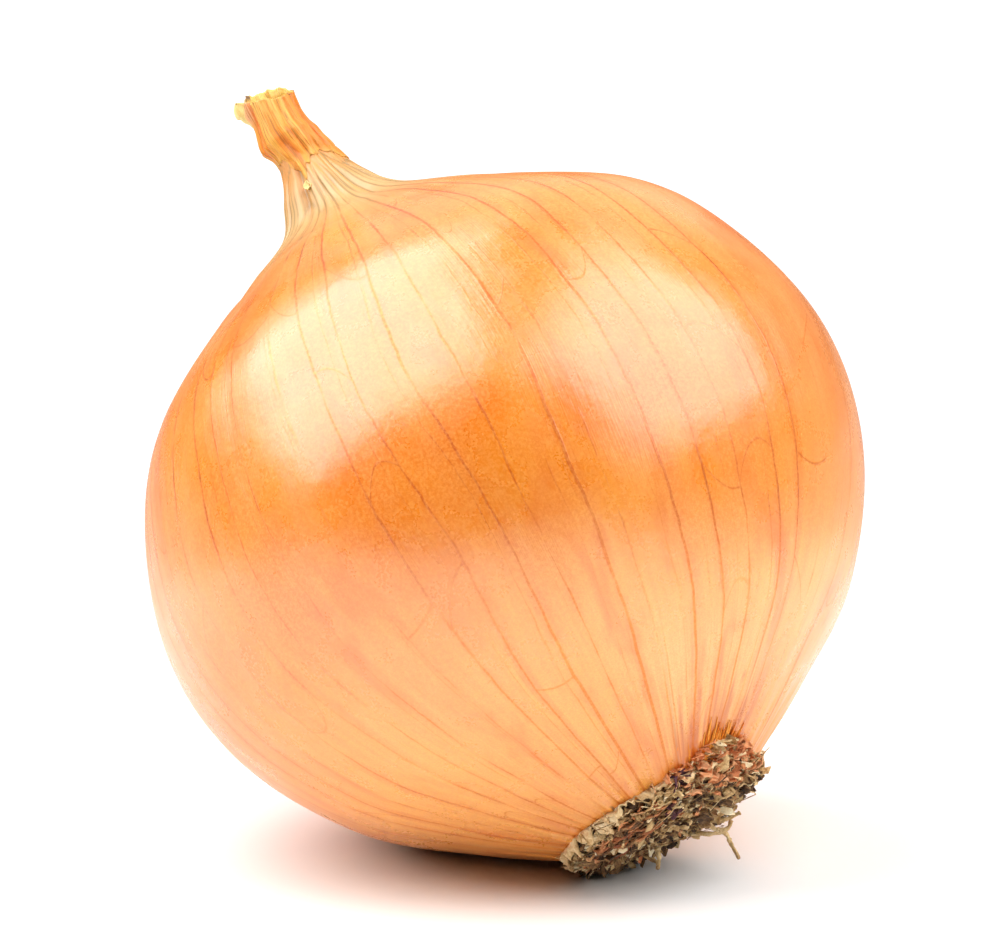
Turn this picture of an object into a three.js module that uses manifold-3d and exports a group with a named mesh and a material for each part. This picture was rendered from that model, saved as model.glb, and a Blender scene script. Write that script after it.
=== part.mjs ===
// A whole yellow onion, resting on its flank. Millimetres, +Z up, origin in the middle of the flat spot it rests on.
import * as THREE from "three";
import { mergeVertices } from "three/addons/utils/BufferGeometryUtils.js";
import Module from "manifold-3d";

const wasm = await Module();
wasm.setup();

// Driving dimensions. Heights run along the onion's own axis, from the root opening to the neck.
const bulbRadius = 41;
const openingRadius = 11.4; // where the skin ends round the root plate
const equatorHeight = 39;
const bellyDegrees = 222; // the fuller side, round the axis
const shoulderHeight = 62;
const neckBaseHeight = 76.5;
const leafCoreTop = 91.2; // cut end of the pale inner leaves
const huskTop = 94.4;
const huskBottom = 83.2;
const huskThickness = 0.45;
const neckDrift = 1.7; // how far the neck bends off the axis at its top
const neckDriftDegrees = 42; // which way it bends, round the axis
const plateRadius = 12.4;
const plateDepth = 3.4; // how far the domed root mat stands out of the opening
const rootRadius = 0.3;
const leanDegrees = 38.5; // of the onion's axis from the vertical
const headingDegrees = 136.5; // which way the neck leans, from +X round to +Y
const restFlatDepth = 0.4; // how much the flank is flattened where it rests
const gap = 0.3; // between neighbouring solids

// Fineness.
const bulbSides = 72;
const bulbRows = 34;
const plateSides = 36;
const stubCount = 56;

const golden = Math.PI * (3 - Math.sqrt(5));

// Height and radius of the skin, from the root opening to the end of the inner leaves.
const skinOutline = new THREE.SplineCurve([
  new THREE.Vector2(openingRadius, 0),
  new THREE.Vector2(0.51 * bulbRadius, 6),
  new THREE.Vector2(0.76 * bulbRadius, 14),
  new THREE.Vector2(0.945 * bulbRadius, 26),
  new THREE.Vector2(bulbRadius, equatorHeight),
  new THREE.Vector2(0.92 * bulbRadius, 52),
  new THREE.Vector2(0.765 * bulbRadius, shoulderHeight),
  new THREE.Vector2(0.475 * bulbRadius, 70.5),
  new THREE.Vector2(8.2, neckBaseHeight),
  new THREE.Vector2(4.7, 81.5),
  new THREE.Vector2(2.8, 86),
  new THREE.Vector2(1.9, leafCoreTop),
]);

const skinPoints = skinOutline.getPoints(400);

function smoothStep(from, to, value) {
  return THREE.MathUtils.smoothstep(value, from, to);
}

// Soft ridges down the bulb, which gather into pleats at the neck.
function skinRadius(radius, height, angle) {
  const onBulb = smoothStep(0, 20, height) * (1 - smoothStep(shoulderHeight, neckBaseHeight, height));
  const onNeck = smoothStep(neckBaseHeight - 6, neckBaseHeight + 5, height);
  const belly = 0.008 * Math.cos(angle - THREE.MathUtils.degToRad(bellyDegrees));
  const outOfRound = belly + 0.006 * Math.cos(2 * angle + 0.8) + 0.004 * Math.cos(5 * angle + 2);
  const pleats = 0.07 * Math.cos(11 * angle + 0.5) + 0.04 * Math.cos(7 * angle);
  return radius * (1 + onBulb * outOfRound + onNeck * pleats);
}

// Bends the neck sideways, more and more towards its top.
function bendNeck(point) {
  const along = Math.max((point.z - neckBaseHeight) / (huskTop - neckBaseHeight), 0);
  const heading = THREE.MathUtils.degToRad(neckDriftDegrees);
  point.x += neckDrift * along ** 1.5 * Math.cos(heading);
  point.y += neckDrift * along ** 1.5 * Math.sin(heading);
}

// Moves every vertex of a geometry by a function of its place.
function reshape(geometry, place) {
  const positions = geometry.getAttribute("position");
  const point = new THREE.Vector3();
  for (let i = 0; i < positions.count; i++) {
    point.fromBufferAttribute(positions, i);
    place(point);
    positions.setXYZ(i, point.x, point.y, point.z);
  }
  return geometry;
}

// A LatheGeometry turned to stand on the onion's axis.
function turned(profile, sides) {
  return new THREE.LatheGeometry(profile, sides).rotateX(Math.PI / 2);
}

function solidOf(geometry) {
  const bare = new THREE.BufferGeometry();
  bare.setAttribute("position", geometry.getAttribute("position").clone());
  bare.setIndex(geometry.index);
  const merged = mergeVertices(bare, 1e-4);
  const corners = merged.index.array;
  const kept = [];
  for (let i = 0; i < corners.length; i += 3) {
    const [a, b, c] = corners.slice(i, i + 3);
    if (a !== b && b !== c && c !== a) kept.push(a, b, c);
  }
  return new wasm.Manifold(
    new wasm.Mesh({
      numProp: 3,
      vertProperties: merged.getAttribute("position").array,
      triVerts: new Uint32Array(kept),
    }),
  );
}

function geometryOf(solid) {
  const mesh = solid.getMesh();
  const geometry = new THREE.BufferGeometry();
  geometry.setAttribute("position", new THREE.BufferAttribute(mesh.vertProperties, 3));
  geometry.setIndex(new THREE.BufferAttribute(mesh.triVerts, 1));
  geometry.computeVertexNormals();
  return geometry;
}

// The onion's pose: leaned over, then lifted so that its lowest flank sits restFlatDepth into the surface.
function leaningGroup() {
  const lean = THREE.MathUtils.degToRad(leanDegrees);
  const heading = THREE.MathUtils.degToRad(headingDegrees);
  const group = new THREE.Group();
  group.rotation.set(0, lean, heading, "ZYX");
  const lowest = new THREE.Vector3(0, 0, Infinity);
  for (const { x: radius, y: height } of skinPoints) {
    const flank = new THREE.Vector3(radius, 0, height).applyEuler(group.rotation);
    if (flank.z < lowest.z) lowest.copy(flank);
  }
  group.position.copy(lowest).negate();
  group.position.z -= restFlatDepth;
  group.updateMatrixWorld(true);
  return group;
}

const onion = leaningGroup();

// Everything below the surface that the onion rests on, seen from the onion's own frame.
function underSurface() {
  const side = 400;
  const block = new THREE.BoxGeometry(side, side, side).translate(0, 0, -side / 2);
  return solidOf(block.applyMatrix4(onion.matrixWorld.clone().invert()));
}

function bulb() {
  const recess = [new THREE.Vector2(0, 1.4), new THREE.Vector2(openingRadius - 0.5, 1.2)];
  const profile = [...recess, ...skinOutline.getPoints(bulbRows), new THREE.Vector2(0, leafCoreTop + 0.4)];
  const skin = reshape(turned(profile, bulbSides), (point) => {
    const radius = Math.hypot(point.x, point.y);
    const angle = Math.atan2(point.y, point.x);
    const scale = radius > 0 ? skinRadius(radius, point.z, angle) / radius : 1;
    point.x *= scale;
    point.y *= scale;
    bendNeck(point);
  });
  return geometryOf(solidOf(skin).subtract(underSurface()));
}

// Loose roots, by the points they pass through in the onion's own frame.
const looseRoots = {
  root_bent: [[2.3, -4.7, -2.9], [0.7, -5.8, -4], [-0.6, -6.8, -4.8], [-0.6, -6.9, -6.1], [-0.5, -7, -8.1]],
  root_upturned: [[-0.1, -6.1, -2.8], [-0.7, -6.8, -3.4], [-1.5, -7.6, -3.6], [-2.6, -8.5, -3.6]],
  root_forked: [[-0.3, -5.2, -3], [-0.7, -6, -4.3], [-1.5, -6.6, -4.6], [-2.2, -7, -4.1]],
  root_short: [[3.7, -0.8, -2.9], [4.1, -0.4, -4.3], [4.5, 0.1, -5.2]],
};

// A closed strand of the given section drawn along a smooth line through the points.
function strand(section, points, steps) {
  const path = new THREE.CatmullRomCurve3(points.map((point) => new THREE.Vector3(...point)));
  return new THREE.ExtrudeGeometry(section, { steps, extrudePath: path, bevelEnabled: false });
}

function roundSection(radius) {
  const section = new THREE.Shape();
  const sides = 8;
  section.moveTo(radius, 0);
  for (let side = 1; side < sides; side++) {
    const angle = (side / sides) * 2 * Math.PI;
    section.lineTo(radius * Math.cos(angle), radius * Math.sin(angle));
  }
  return section;
}

// A tapered root stub on the domed mat, pointing out and a little askew.
function rootStub(index) {
  const reach = Math.sqrt((index + 0.5) / stubCount) * (plateRadius - 0.9);
  const angle = index * golden;
  const slope = 0.9 * (reach / plateRadius);
  const askew = 0.35 * Math.sin(7 * index);
  const length = 1.3 + 0.45 * Math.sin(3.1 * index);
  const stub = new THREE.CylinderGeometry(0.35, 0.6, length, 5);
  stub.translate(0, length / 2 - 0.6, 0).rotateX(-Math.PI / 2);
  stub.rotateX(askew).rotateY(-slope).rotateZ(angle);
  return stub.translate(reach * Math.cos(angle), reach * Math.sin(angle), matHeight(reach));
}

// Height of the mat's domed face at a distance from the axis.
function matHeight(reach) {
  return -gap - (plateDepth - gap) * Math.sqrt(Math.max(1 - (reach / plateRadius) ** 2, 0));
}

function rootPlate() {
  const inOpening = openingRadius - 0.5 - gap;
  const profile = [new THREE.Vector2(0, 1.4 - gap), new THREE.Vector2(inOpening, 1.2 - gap)];
  profile.push(new THREE.Vector2(inOpening, -gap));
  const rings = 8;
  for (let ring = 0; ring < rings; ring++) {
    const reach = plateRadius * Math.cos((ring / rings) * (Math.PI / 2));
    profile.push(new THREE.Vector2(reach, matHeight(reach)));
  }
  profile.push(new THREE.Vector2(0, -plateDepth));
  let plate = solidOf(turned(profile.reverse(), plateSides));
  for (let index = 0; index < stubCount; index++) {
    plate = plate.add(solidOf(rootStub(index)));
  }
  for (const points of Object.values(looseRoots)) {
    plate = plate.subtract(solidOf(strand(roundSection(rootRadius + gap), points, 6)));
  }
  return geometryOf(plate.subtract(underSurface()));
}

// Radius of the pale leaf core at a height on the neck.
function coreRadius(height) {
  return skinPoints.find((point) => point.y >= Math.min(height, leafCoreTop - 0.1)).x;
}

// A leaf wrapped most of the way round the neck, open at the back, with a torn lower edge.
function neckHusk() {
  const ringRadius = 10;
  const opening = THREE.MathUtils.degToRad(-20);
  const wrap = THREE.MathUtils.degToRad(318);
  const section = new THREE.Shape();
  section.absarc(0, 0, ringRadius + huskThickness, opening, opening + wrap, false);
  section.absarc(0, 0, ringRadius, opening + wrap, opening, true);
  const sheet = new THREE.ExtrudeGeometry(section, {
    depth: 1,
    steps: 8,
    curveSegments: 26,
    bevelEnabled: false,
  });
  return reshape(sheet, (point) => {
    const angle = Math.atan2(point.y, point.x);
    const tear = 1.1 * Math.cos(3 * angle + 1.2) + 0.6 * Math.cos(8 * angle);
    const lower = huskBottom + tear;
    const upper = huskTop + 0.5 * Math.cos(2 * angle);
    const height = THREE.MathUtils.lerp(lower, upper, point.z);
    const pleat = 1.08 + 0.06 * Math.cos(11 * angle + 0.5);
    const sheetRadius = coreRadius(height) * pleat + gap + 0.15;
    const radius = sheetRadius + (Math.hypot(point.x, point.y) - ringRadius);
    point.set(radius * Math.cos(angle), radius * Math.sin(angle), height);
    bendNeck(point);
  });
}

function curlSection() {
  const halfWidth = 1;
  const halfThickness = 0.22;
  const section = new THREE.Shape();
  section.moveTo(-halfThickness, -halfWidth);
  section.lineTo(halfThickness, -halfWidth);
  section.lineTo(halfThickness, halfWidth);
  section.lineTo(-halfThickness, halfWidth);
  return section;
}

const curlPath = [[3.95, 3.5, 91.3], [4.1, 3.65, 92.6], [4.2, 3.75, 94], [4.3, 3.85, 95.2]];

const colours = {
  skin: { color: 0xe39a4e, roughness: 0.42, metalness: 0 },
  husk: { color: 0xe48a2c, roughness: 0.6, metalness: 0 },
  leaf: { color: 0xf3dc8f, roughness: 0.65, metalness: 0 },
  mat: { color: 0x85704c, roughness: 0.92, metalness: 0 },
  root: { color: 0xa08e60, roughness: 0.9, metalness: 0 },
};

function addPiece(name, geometry, colour) {
  const mesh = new THREE.Mesh(geometry, new THREE.MeshStandardMaterial(colours[colour]));
  mesh.name = name;
  onion.add(mesh);
}

addPiece("bulb", bulb(), "skin");
addPiece("neck_husk", neckHusk(), "husk");
addPiece("neck_tip_curl", strand(curlSection(), curlPath, 8), "leaf");
addPiece("root_plate", rootPlate(), "mat");
for (const [name, points] of Object.entries(looseRoots)) {
  addPiece(name, strand(roundSection(rootRadius), points, 10), "root");
}

const part = new THREE.Group();
part.add(onion);

export default part;
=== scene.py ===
import itertools
import math

import bmesh
import bpy
import numpy as np
from mathutils import Matrix, Vector


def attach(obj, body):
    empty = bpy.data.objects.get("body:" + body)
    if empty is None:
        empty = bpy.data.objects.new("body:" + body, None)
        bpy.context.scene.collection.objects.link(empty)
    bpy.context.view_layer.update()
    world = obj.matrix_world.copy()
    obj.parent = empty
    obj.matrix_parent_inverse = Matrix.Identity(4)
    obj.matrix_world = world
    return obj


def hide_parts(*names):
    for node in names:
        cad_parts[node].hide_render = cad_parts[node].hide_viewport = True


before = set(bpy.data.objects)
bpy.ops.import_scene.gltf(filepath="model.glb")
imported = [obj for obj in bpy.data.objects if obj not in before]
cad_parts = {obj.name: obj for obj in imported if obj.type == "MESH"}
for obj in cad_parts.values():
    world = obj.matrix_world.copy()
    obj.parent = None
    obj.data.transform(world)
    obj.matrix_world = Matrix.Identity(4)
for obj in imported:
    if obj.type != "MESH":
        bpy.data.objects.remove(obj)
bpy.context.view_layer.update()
scene = bpy.context.scene
mm = 0.001
golden = math.pi * (3 - math.sqrt(5))
print("frame loaded:", len(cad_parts), "nodes")

# The camera, level from side to side. Lengths in mm, angles in degrees.
cameraSet = {"target": (3.13, 0, 42.06), "distance": 600, "elevation": 12, "lens": 193.2, "sensor": 36}


def makeCamera():
    tilt = math.radians(cameraSet["elevation"])
    back = Vector((0, -math.cos(tilt), math.sin(tilt)))
    cameraData = bpy.data.cameras.new("camera")
    cameraData.lens = cameraSet["lens"]
    cameraData.sensor_width = cameraSet["sensor"]
    cameraData.clip_start = 0.01
    camera = bpy.data.objects.new("camera", cameraData)
    camera.location = (Vector(cameraSet["target"]) + back * cameraSet["distance"]) * mm
    camera.rotation_euler = (math.pi / 2 - tilt, 0, 0)
    scene.collection.objects.link(camera)
    scene.camera = camera


makeCamera()
scene.view_settings.view_transform = "Standard"
scene.view_settings.look = "None"


# Node helpers. A value is a number, a colour, a vector, or the socket that gives it.
def feed(tree, socket, value):
    if isinstance(value, bpy.types.NodeSocket):
        tree.links.new(value, socket)
    elif socket.type == "RGBA" and len(value) == 3:
        socket.default_value = (*value, 1)
    else:
        socket.default_value = value


def addNode(tree, kind, **settings):
    made = tree.nodes.new(kind)
    for name, value in settings.items():
        setattr(made, name, value)
    return made


def calc(tree, operation, first, second=0.0, third=0.0, clamp=False):
    made = addNode(tree, "ShaderNodeMath", operation=operation, use_clamp=clamp)
    for socket, value in zip(made.inputs, (first, second, third)):
        feed(tree, socket, value)
    return made.outputs[0]


def times(tree, first, second):
    return calc(tree, "MULTIPLY", first, second)


def plus(tree, first, second, clamp=False):
    return calc(tree, "ADD", first, second, clamp=clamp)


def minus(tree, first, second):
    return calc(tree, "SUBTRACT", first, second)


def span(tree, value, low, high, toLow=0.0, toHigh=1.0):
    made = addNode(tree, "ShaderNodeMapRange", interpolation_type="SMOOTHSTEP")
    for socket, given in zip(made.inputs, (value, low, high, toLow, toHigh)):
        feed(tree, socket, given)
    return made.outputs[0]


def fade(tree, value, full, gone):
    return span(tree, value, full, gone, 1.0, 0.0)


def window(tree, value, setsIn, ends):
    return times(tree, span(tree, value, *setsIn), fade(tree, value, *ends))


def mixColour(tree, share, first, second, blend="MIX"):
    made = addNode(tree, "ShaderNodeMix", data_type="RGBA", blend_type=blend)
    for socket, value in zip((made.inputs[0], made.inputs[6], made.inputs[7]), (share, first, second)):
        feed(tree, socket, value)
    return made.outputs[2]


def tint(tree, colour, mask, share, paint, blend="MIX"):
    return mixColour(tree, times(tree, mask, share), colour, paint, blend)


def stretch(tree, vector, scale):
    made = addNode(tree, "ShaderNodeVectorMath", operation="MULTIPLY")
    feed(tree, made.inputs[0], vector)
    feed(tree, made.inputs[1], scale)
    return made.outputs[0]


def cloud(tree, vector, scale, detail=2.0, rough=0.5, distort=0.0):
    made = addNode(tree, "ShaderNodeTexNoise")
    feed(tree, made.inputs["Vector"], vector)
    for name, value in (("Scale", scale), ("Detail", detail), ("Roughness", rough), ("Distortion", distort)):
        feed(tree, made.inputs[name], value)
    return made.outputs[0]


def painted(tree, name):
    return addNode(tree, "ShaderNodeAttribute", attribute_name=name).outputs["Fac"]


def joined(tree, **axes):
    made = addNode(tree, "ShaderNodeCombineXYZ")
    for axis, value in axes.items():
        feed(tree, made.inputs[axis], value)
    return made.outputs[0]


def paintedGrain(tree):
    return joined(tree, **{axis: painted(tree, "grain" + axis) for axis in "XYZ"})


def placeInMm(tree):
    place = addNode(tree, "ShaderNodeTexCoord").outputs["Object"]
    return stretch(tree, place, (1 / mm,) * 3)


def bump(tree, height, depth, strength=1.0, normal=None):
    made = addNode(tree, "ShaderNodeBump")
    made.inputs["Strength"].default_value = strength
    made.inputs["Distance"].default_value = depth * mm
    feed(tree, made.inputs["Height"], height)
    if normal is not None:
        feed(tree, made.inputs["Normal"], normal)
    return made.outputs[0]


def newMaterial(name, **sockets):
    material = bpy.data.materials.new(name)
    material.use_nodes = True
    tree = material.node_tree
    shader = tree.nodes["Principled BSDF"]
    for label, value in sockets.items():
        shader.inputs[label.replace("_", " ")].default_value = value
    return material, tree, shader


def effectGroup(name, inputs, outputs):
    group = bpy.data.node_groups.new(name, "ShaderNodeTree")
    for label, kind, value in inputs:
        socket = group.interface.new_socket(label, in_out="INPUT", socket_type="NodeSocket" + kind)
        socket.default_value = value
    for label, kind in outputs:
        group.interface.new_socket(label, in_out="OUTPUT", socket_type="NodeSocket" + kind)
    return group, addNode(group, "NodeGroupInput").outputs, addNode(group, "NodeGroupOutput").inputs


def useGroup(tree, group, **values):
    made = addNode(tree, "ShaderNodeGroup", node_tree=group)
    for label, value in values.items():
        feed(tree, made.inputs[label], value)
    return made.outputs


# Soft white studio: two big soft boxes left and right of the top, a bright sweep, and a dim room in front.
studioSet = {
    "leftBox": {"toward": (-0.64, 0.05, 0.77), "distance": 800, "size": 1000, "power": 15.4},
    "rightBox": {"toward": (0.61, -0.15, 0.77), "distance": 800, "size": 950, "power": 11.4},
    "backFill": {"toward": (0, 0.8, 0.6), "distance": 1100, "size": 900, "power": 2},
    "middle": (0, 0, 40),
    "roomFront": 0.03,
    "roomBack": 0.84,
    "upCountsAsBack": 0.6,
    "rightCountsAsFront": 0.38,
    "seenRoom": 1.2,
    "floorSize": 9000,
    "floorColour": (0.87, 0.87, 0.87),
    "farColour": (0.3, 0.3, 0.3),
    "litMiddle": (0, -175, 0),
    "litFrom": 205,
    "litTo": 355,
    "glowFrom": 70,
    "glowFull": 190,
    "glow": 1.25,
}


def distanceFrom(tree, place, middle):
    away = addNode(tree, "ShaderNodeVectorMath", operation="DISTANCE")
    feed(tree, away.inputs[0], place)
    feed(tree, away.inputs[1], middle)
    return away.outputs["Value"]


def makeSoftBox(name, toward, distance, size, power):
    light = bpy.data.lights.new(name, "AREA")
    light.shape = "SQUARE"
    light.size = size * mm
    light.energy = power
    lamp = bpy.data.objects.new(name, light)
    direction = Vector(toward).normalized()
    lamp.location = (Vector(studioSet["middle"]) + direction * distance) * mm
    lamp.rotation_euler = direction.to_track_quat("Z", "Y").to_euler()
    lamp.visible_camera = False
    scene.collection.objects.link(lamp)


def makeRoom():
    world = bpy.data.worlds.new("studio")
    scene.world = world
    world.use_nodes = True
    tree = world.node_tree
    background = tree.nodes["Background"]
    facing = addNode(tree, "ShaderNodeSeparateXYZ")
    feed(tree, facing.inputs[0], addNode(tree, "ShaderNodeTexCoord").outputs["Generated"])
    behind = plus(tree, facing.outputs["Y"], times(tree, facing.outputs["Z"], studioSet["upCountsAsBack"]))
    toRight = calc(tree, "MAXIMUM", facing.outputs["X"], 0.0)
    toRight = times(tree, toRight, studioSet["rightCountsAsFront"])
    behind = minus(tree, behind, toRight)
    room = span(tree, behind, -0.5, 0.5, studioSet["roomFront"], studioSet["roomBack"])
    seen = addNode(tree, "ShaderNodeLightPath").outputs["Is Camera Ray"]
    strength = calc(tree, "MAXIMUM", room, times(tree, seen, studioSet["seenRoom"]))
    feed(tree, background.inputs["Strength"], strength)


def makeFloor():
    half = studioSet["floorSize"] / 2 * mm
    mesh = bpy.data.meshes.new("sweep")
    corners = [(-half, -half, 0), (half, -half, 0), (half, half, 0), (-half, half, 0)]
    mesh.from_pydata(corners, [], [(0, 1, 2, 3)])
    floor = bpy.data.objects.new("sweep", mesh)
    scene.collection.objects.link(floor)
    material, tree, shader = newMaterial("white sweep", Roughness=0.7, Specular_IOR_Level=0.1)
    glow = addNode(tree, "ShaderNodeEmission")
    glow.inputs["Strength"].default_value = studioSet["glow"]
    place = placeInMm(tree)
    # The floor's own colour darkens from floorColour to farColour away from litMiddle: a painted pool of
    # light in front of the onion.
    share, dim = [
        span(tree, distanceFrom(tree, place, middle), low, high)
        for middle, low, high in (
            ((0, 0, 0), studioSet["glowFrom"], studioSet["glowFull"]),
            (studioSet["litMiddle"], studioSet["litFrom"], studioSet["litTo"]),
        )
    ]
    colour = mixColour(tree, dim, studioSet["floorColour"], studioSet["farColour"])
    feed(tree, shader.inputs["Base Color"], colour)
    seen = addNode(tree, "ShaderNodeLightPath").outputs["Is Camera Ray"]
    blend = addNode(tree, "ShaderNodeMixShader")
    feed(tree, blend.inputs[0], times(tree, share, seen))
    feed(tree, blend.inputs[1], shader.outputs[0])
    feed(tree, blend.inputs[2], glow.outputs[0])
    feed(tree, tree.nodes["Material Output"].inputs["Surface"], blend.outputs[0])
    mesh.materials.append(material)


for boxName in ("leftBox", "rightBox", "backFill"):
    makeSoftBox(boxName, **studioSet[boxName])
makeRoom()
makeFloor()
print("studio ready")


# Shape helpers. Shapes are worked out in mm in the onion's own frame: its axis is Z, from root to neck.
onionSet = {
    "bulbRadius": 41,
    "openingRadius": 11.4,
    "equatorHeight": 39,
    "shoulderHeight": 62,
    "neckBase": 76.5,
    "coreTop": 91.2,
    "bellyDegrees": 222,
    "leanDegrees": 38.5,
    "headingDegrees": 136.5,
    "restFlatDepth": 0.4,
    "plateRadius": 12.4,
    "plateDepth": 3.4,
    "gap": 0.3,
    "neckDrift": (
        (74, 0), (77, 0.2), (79, 0.42), (81.3, 0.68), (83.4, 0.85), (85.4, 1.1),
        (87.5, 1.5), (89.3, 1.78), (91.5, 1.72), (93.4, 1.62), (97, 1.6),
    ),
    "neckDriftDegrees": 42,
    "pleatDepth": 0.17,
}
bulbRadius = onionSet["bulbRadius"]
skinOutline = [
    (onionSet["openingRadius"], 0),
    (0.51 * bulbRadius, 6),
    (0.76 * bulbRadius, 14),
    (0.945 * bulbRadius, 26),
    (bulbRadius, onionSet["equatorHeight"]),
    (0.92 * bulbRadius, 52),
    (0.765 * bulbRadius, onionSet["shoulderHeight"]),
    (0.462 * bulbRadius, 70.5),
    (8.15, onionSet["neckBase"]),
    (4.75, 81.5),
    (3.0, 86),
    (2.0, onionSet["coreTop"]),
]


def smoothStep(low, high, value):
    share = np.clip((np.asarray(value, float) - low) / (high - low), 0, 1)
    return share * share * (3 - 2 * share)


def throughPoints(points, count):
    points = np.array(points, float)
    last = len(points) - 1
    place = np.linspace(0, last, count)
    start = np.clip(np.floor(place).astype(int), 0, last - 1)
    t = (place - start)[:, None]
    before, here = points[np.maximum(start - 1, 0)], points[start]
    there, after = points[start + 1], points[np.minimum(start + 2, last)]
    leave, arrive = (there - before) / 2, (after - here) / 2
    return (2 * here - 2 * there + leave + arrive) * t**3 + (
        3 * there - 3 * here - 2 * leave - arrive
    ) * t**2 + leave * t + here


def softNoise(points, seed):
    table = np.random.default_rng(seed).uniform(-1, 1, (32, 32, 32))
    points = np.asarray(points, float)
    cell = np.floor(points).astype(int)
    share = points - cell
    share = share * share * (3 - 2 * share)
    total = np.zeros(points.shape[:-1])
    for corner in itertools.product((0, 1), repeat=3):
        weight = np.prod(np.where(np.array(corner) == 1, share, 1 - share), axis=-1)
        i, j, k = np.moveaxis((cell + corner) % 32, -1, 0)
        total += weight * table[i, j, k]
    return total


def roundAxis(radius, angle, height, drift=(0, 0)):
    x, y = radius * np.cos(angle) + drift[0], radius * np.sin(angle) + drift[1]
    return np.stack(np.broadcast_arrays(x, y, height), -1)


def unit(vectors):
    return vectors / np.linalg.norm(vectors, axis=-1, keepdims=True)


def roundNoise(angle, height, around, along, seed):
    return softNoise(roundAxis(around, angle, height * along) + 50, seed)


poseTurn = np.array(
    Matrix.Rotation(math.radians(onionSet["headingDegrees"]), 3, "Z")
    @ Matrix.Rotation(math.radians(onionSet["leanDegrees"]), 3, "Y")
)
outline = throughPoints(skinOutline, 2401)
flank = np.stack([outline[:, 0], 0 * outline[:, 0], outline[:, 1]], -1) @ poseTurn.T
poseShift = -flank[flank[:, 2].argmin()] - np.array([0, 0, onionSet["restFlatDepth"]])


def toRoom(points):
    return (np.asarray(points, float) @ poseTurn.T + poseShift) * mm


def neckCentre(height):
    drift = np.interp(height, *zip(*onionSet["neckDrift"]))
    heading = math.radians(onionSet["neckDriftDegrees"])
    return drift * math.cos(heading), drift * math.sin(heading)


def fullness(height, angle):
    onShoulder = smoothStep(onionSet["shoulderHeight"], onionSet["neckBase"], height)
    onBulb = smoothStep(0, 20, height) * (1 - onShoulder)
    belly = 0.008 * np.cos(angle - math.radians(onionSet["bellyDegrees"]))
    return 1 + onBulb * (belly + 0.006 * np.cos(2 * angle + 0.8) + 0.004 * np.cos(5 * angle + 2))


def pleatsAt(angle, height):
    broad = roundNoise(angle, height, 2.7, 1 / 11, 8)
    narrow = roundNoise(angle, height, 5.5, 1 / 8, 9)
    return np.minimum(2.4 * np.abs(broad), 1), np.minimum(2.4 * np.abs(narrow), 1)


def neckRadius(angle, height):
    pleat, finePleat = pleatsAt(angle, height)
    depth = onionSet["pleatDepth"] * smoothStep(67, 80, height)
    radius = np.interp(height, outline[:, 1], outline[:, 0])
    return radius * fullness(height, angle) * (1 + depth * (0.75 * pleat + 0.35 * finePleat - 0.55))


def matHeight(reach):
    gap = onionSet["gap"]
    share = np.clip(1 - (np.asarray(reach, float) / onionSet["plateRadius"]) ** 2, 0, 1)
    return -gap - (onionSet["plateDepth"] - gap) * np.sqrt(share)


def newPile():
    return {"points": [], "faces": [], "marks": {}, "count": 0}


def addShape(pile, points, faces, **marks):
    points = np.asarray(points, float)
    pile["points"].append(points)
    pile["faces"].append(np.asarray(faces) + pile["count"])
    for name, value in marks.items():
        pile["marks"].setdefault(name, []).append(np.broadcast_to(np.asarray(value, float), len(points)))
    pile["count"] += len(points)


def layDown(points):
    points = points.copy()
    points[:, 2] = np.maximum(points[:, 2], 0)  # nothing goes under the surface it rests on
    return points


def makePiece(name, pile, material, nodes, smooth=True):
    points = layDown(toRoom(np.concatenate(pile["points"])))
    faces = [[corner for corner in face if corner >= 0] for part in pile["faces"] for face in part.tolist()]
    mesh = bpy.data.meshes.new(name)
    mesh.from_pydata(points.tolist(), [], faces)
    mesh.validate()
    shell = bmesh.new()
    shell.from_mesh(mesh)
    bmesh.ops.recalc_face_normals(shell, faces=shell.faces)
    shell.to_mesh(mesh)
    shell.free()
    mesh.polygons.foreach_set("use_smooth", [smooth] * len(mesh.polygons))
    for label, parts in pile["marks"].items():
        mark = mesh.attributes.new(label, "FLOAT", "POINT")
        mark.data.foreach_set("value", np.concatenate(parts).astype(np.float32))
    mesh.materials.append(material)
    piece = bpy.data.objects.new(name, mesh)
    scene.collection.objects.link(piece)
    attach(piece, "root")
    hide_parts(*nodes)
    print(f"{name}: {len(mesh.vertices)} points, {len(mesh.polygons)} faces")
    return piece


def gridFaces(rows, columns, closed, first=0):
    across = columns if closed else columns - 1
    row, column = np.meshgrid(np.arange(rows - 1), np.arange(across), indexing="ij")
    beside = (column + 1) % columns
    below, above = row * columns, (row + 1) * columns
    corners = [below + column, below + beside, above + beside, above + column]
    return np.stack(corners, -1).reshape(-1, 4) + first


# The skin: one closed surface from the root opening over the bulb and up the pleated neck.
skinSet = {
    "seed": 11,
    "veins": 50,
    "columnsPerVein": 7,
    "rows": 264,
    "veinJitter": 0.26,
    "veinSway": 0.026,
    "veinRise": 0.035,
    "ribRise": 0.05,
    "lumps": 0.22,
    "rootWrinkles": 0.2,
    "creaseDegrees": 150.5,
    "creaseTop": 10.5,
    "creaseRise": 0.16,
    "crackDegrees": 110,
    "frayDegrees": (148, 190),
    "frayTop": (2.2, 9.5),
}


def degreesApart(angle, degrees):
    return np.degrees(np.angle(np.exp(1j * (angle - math.radians(degrees)))))


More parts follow.
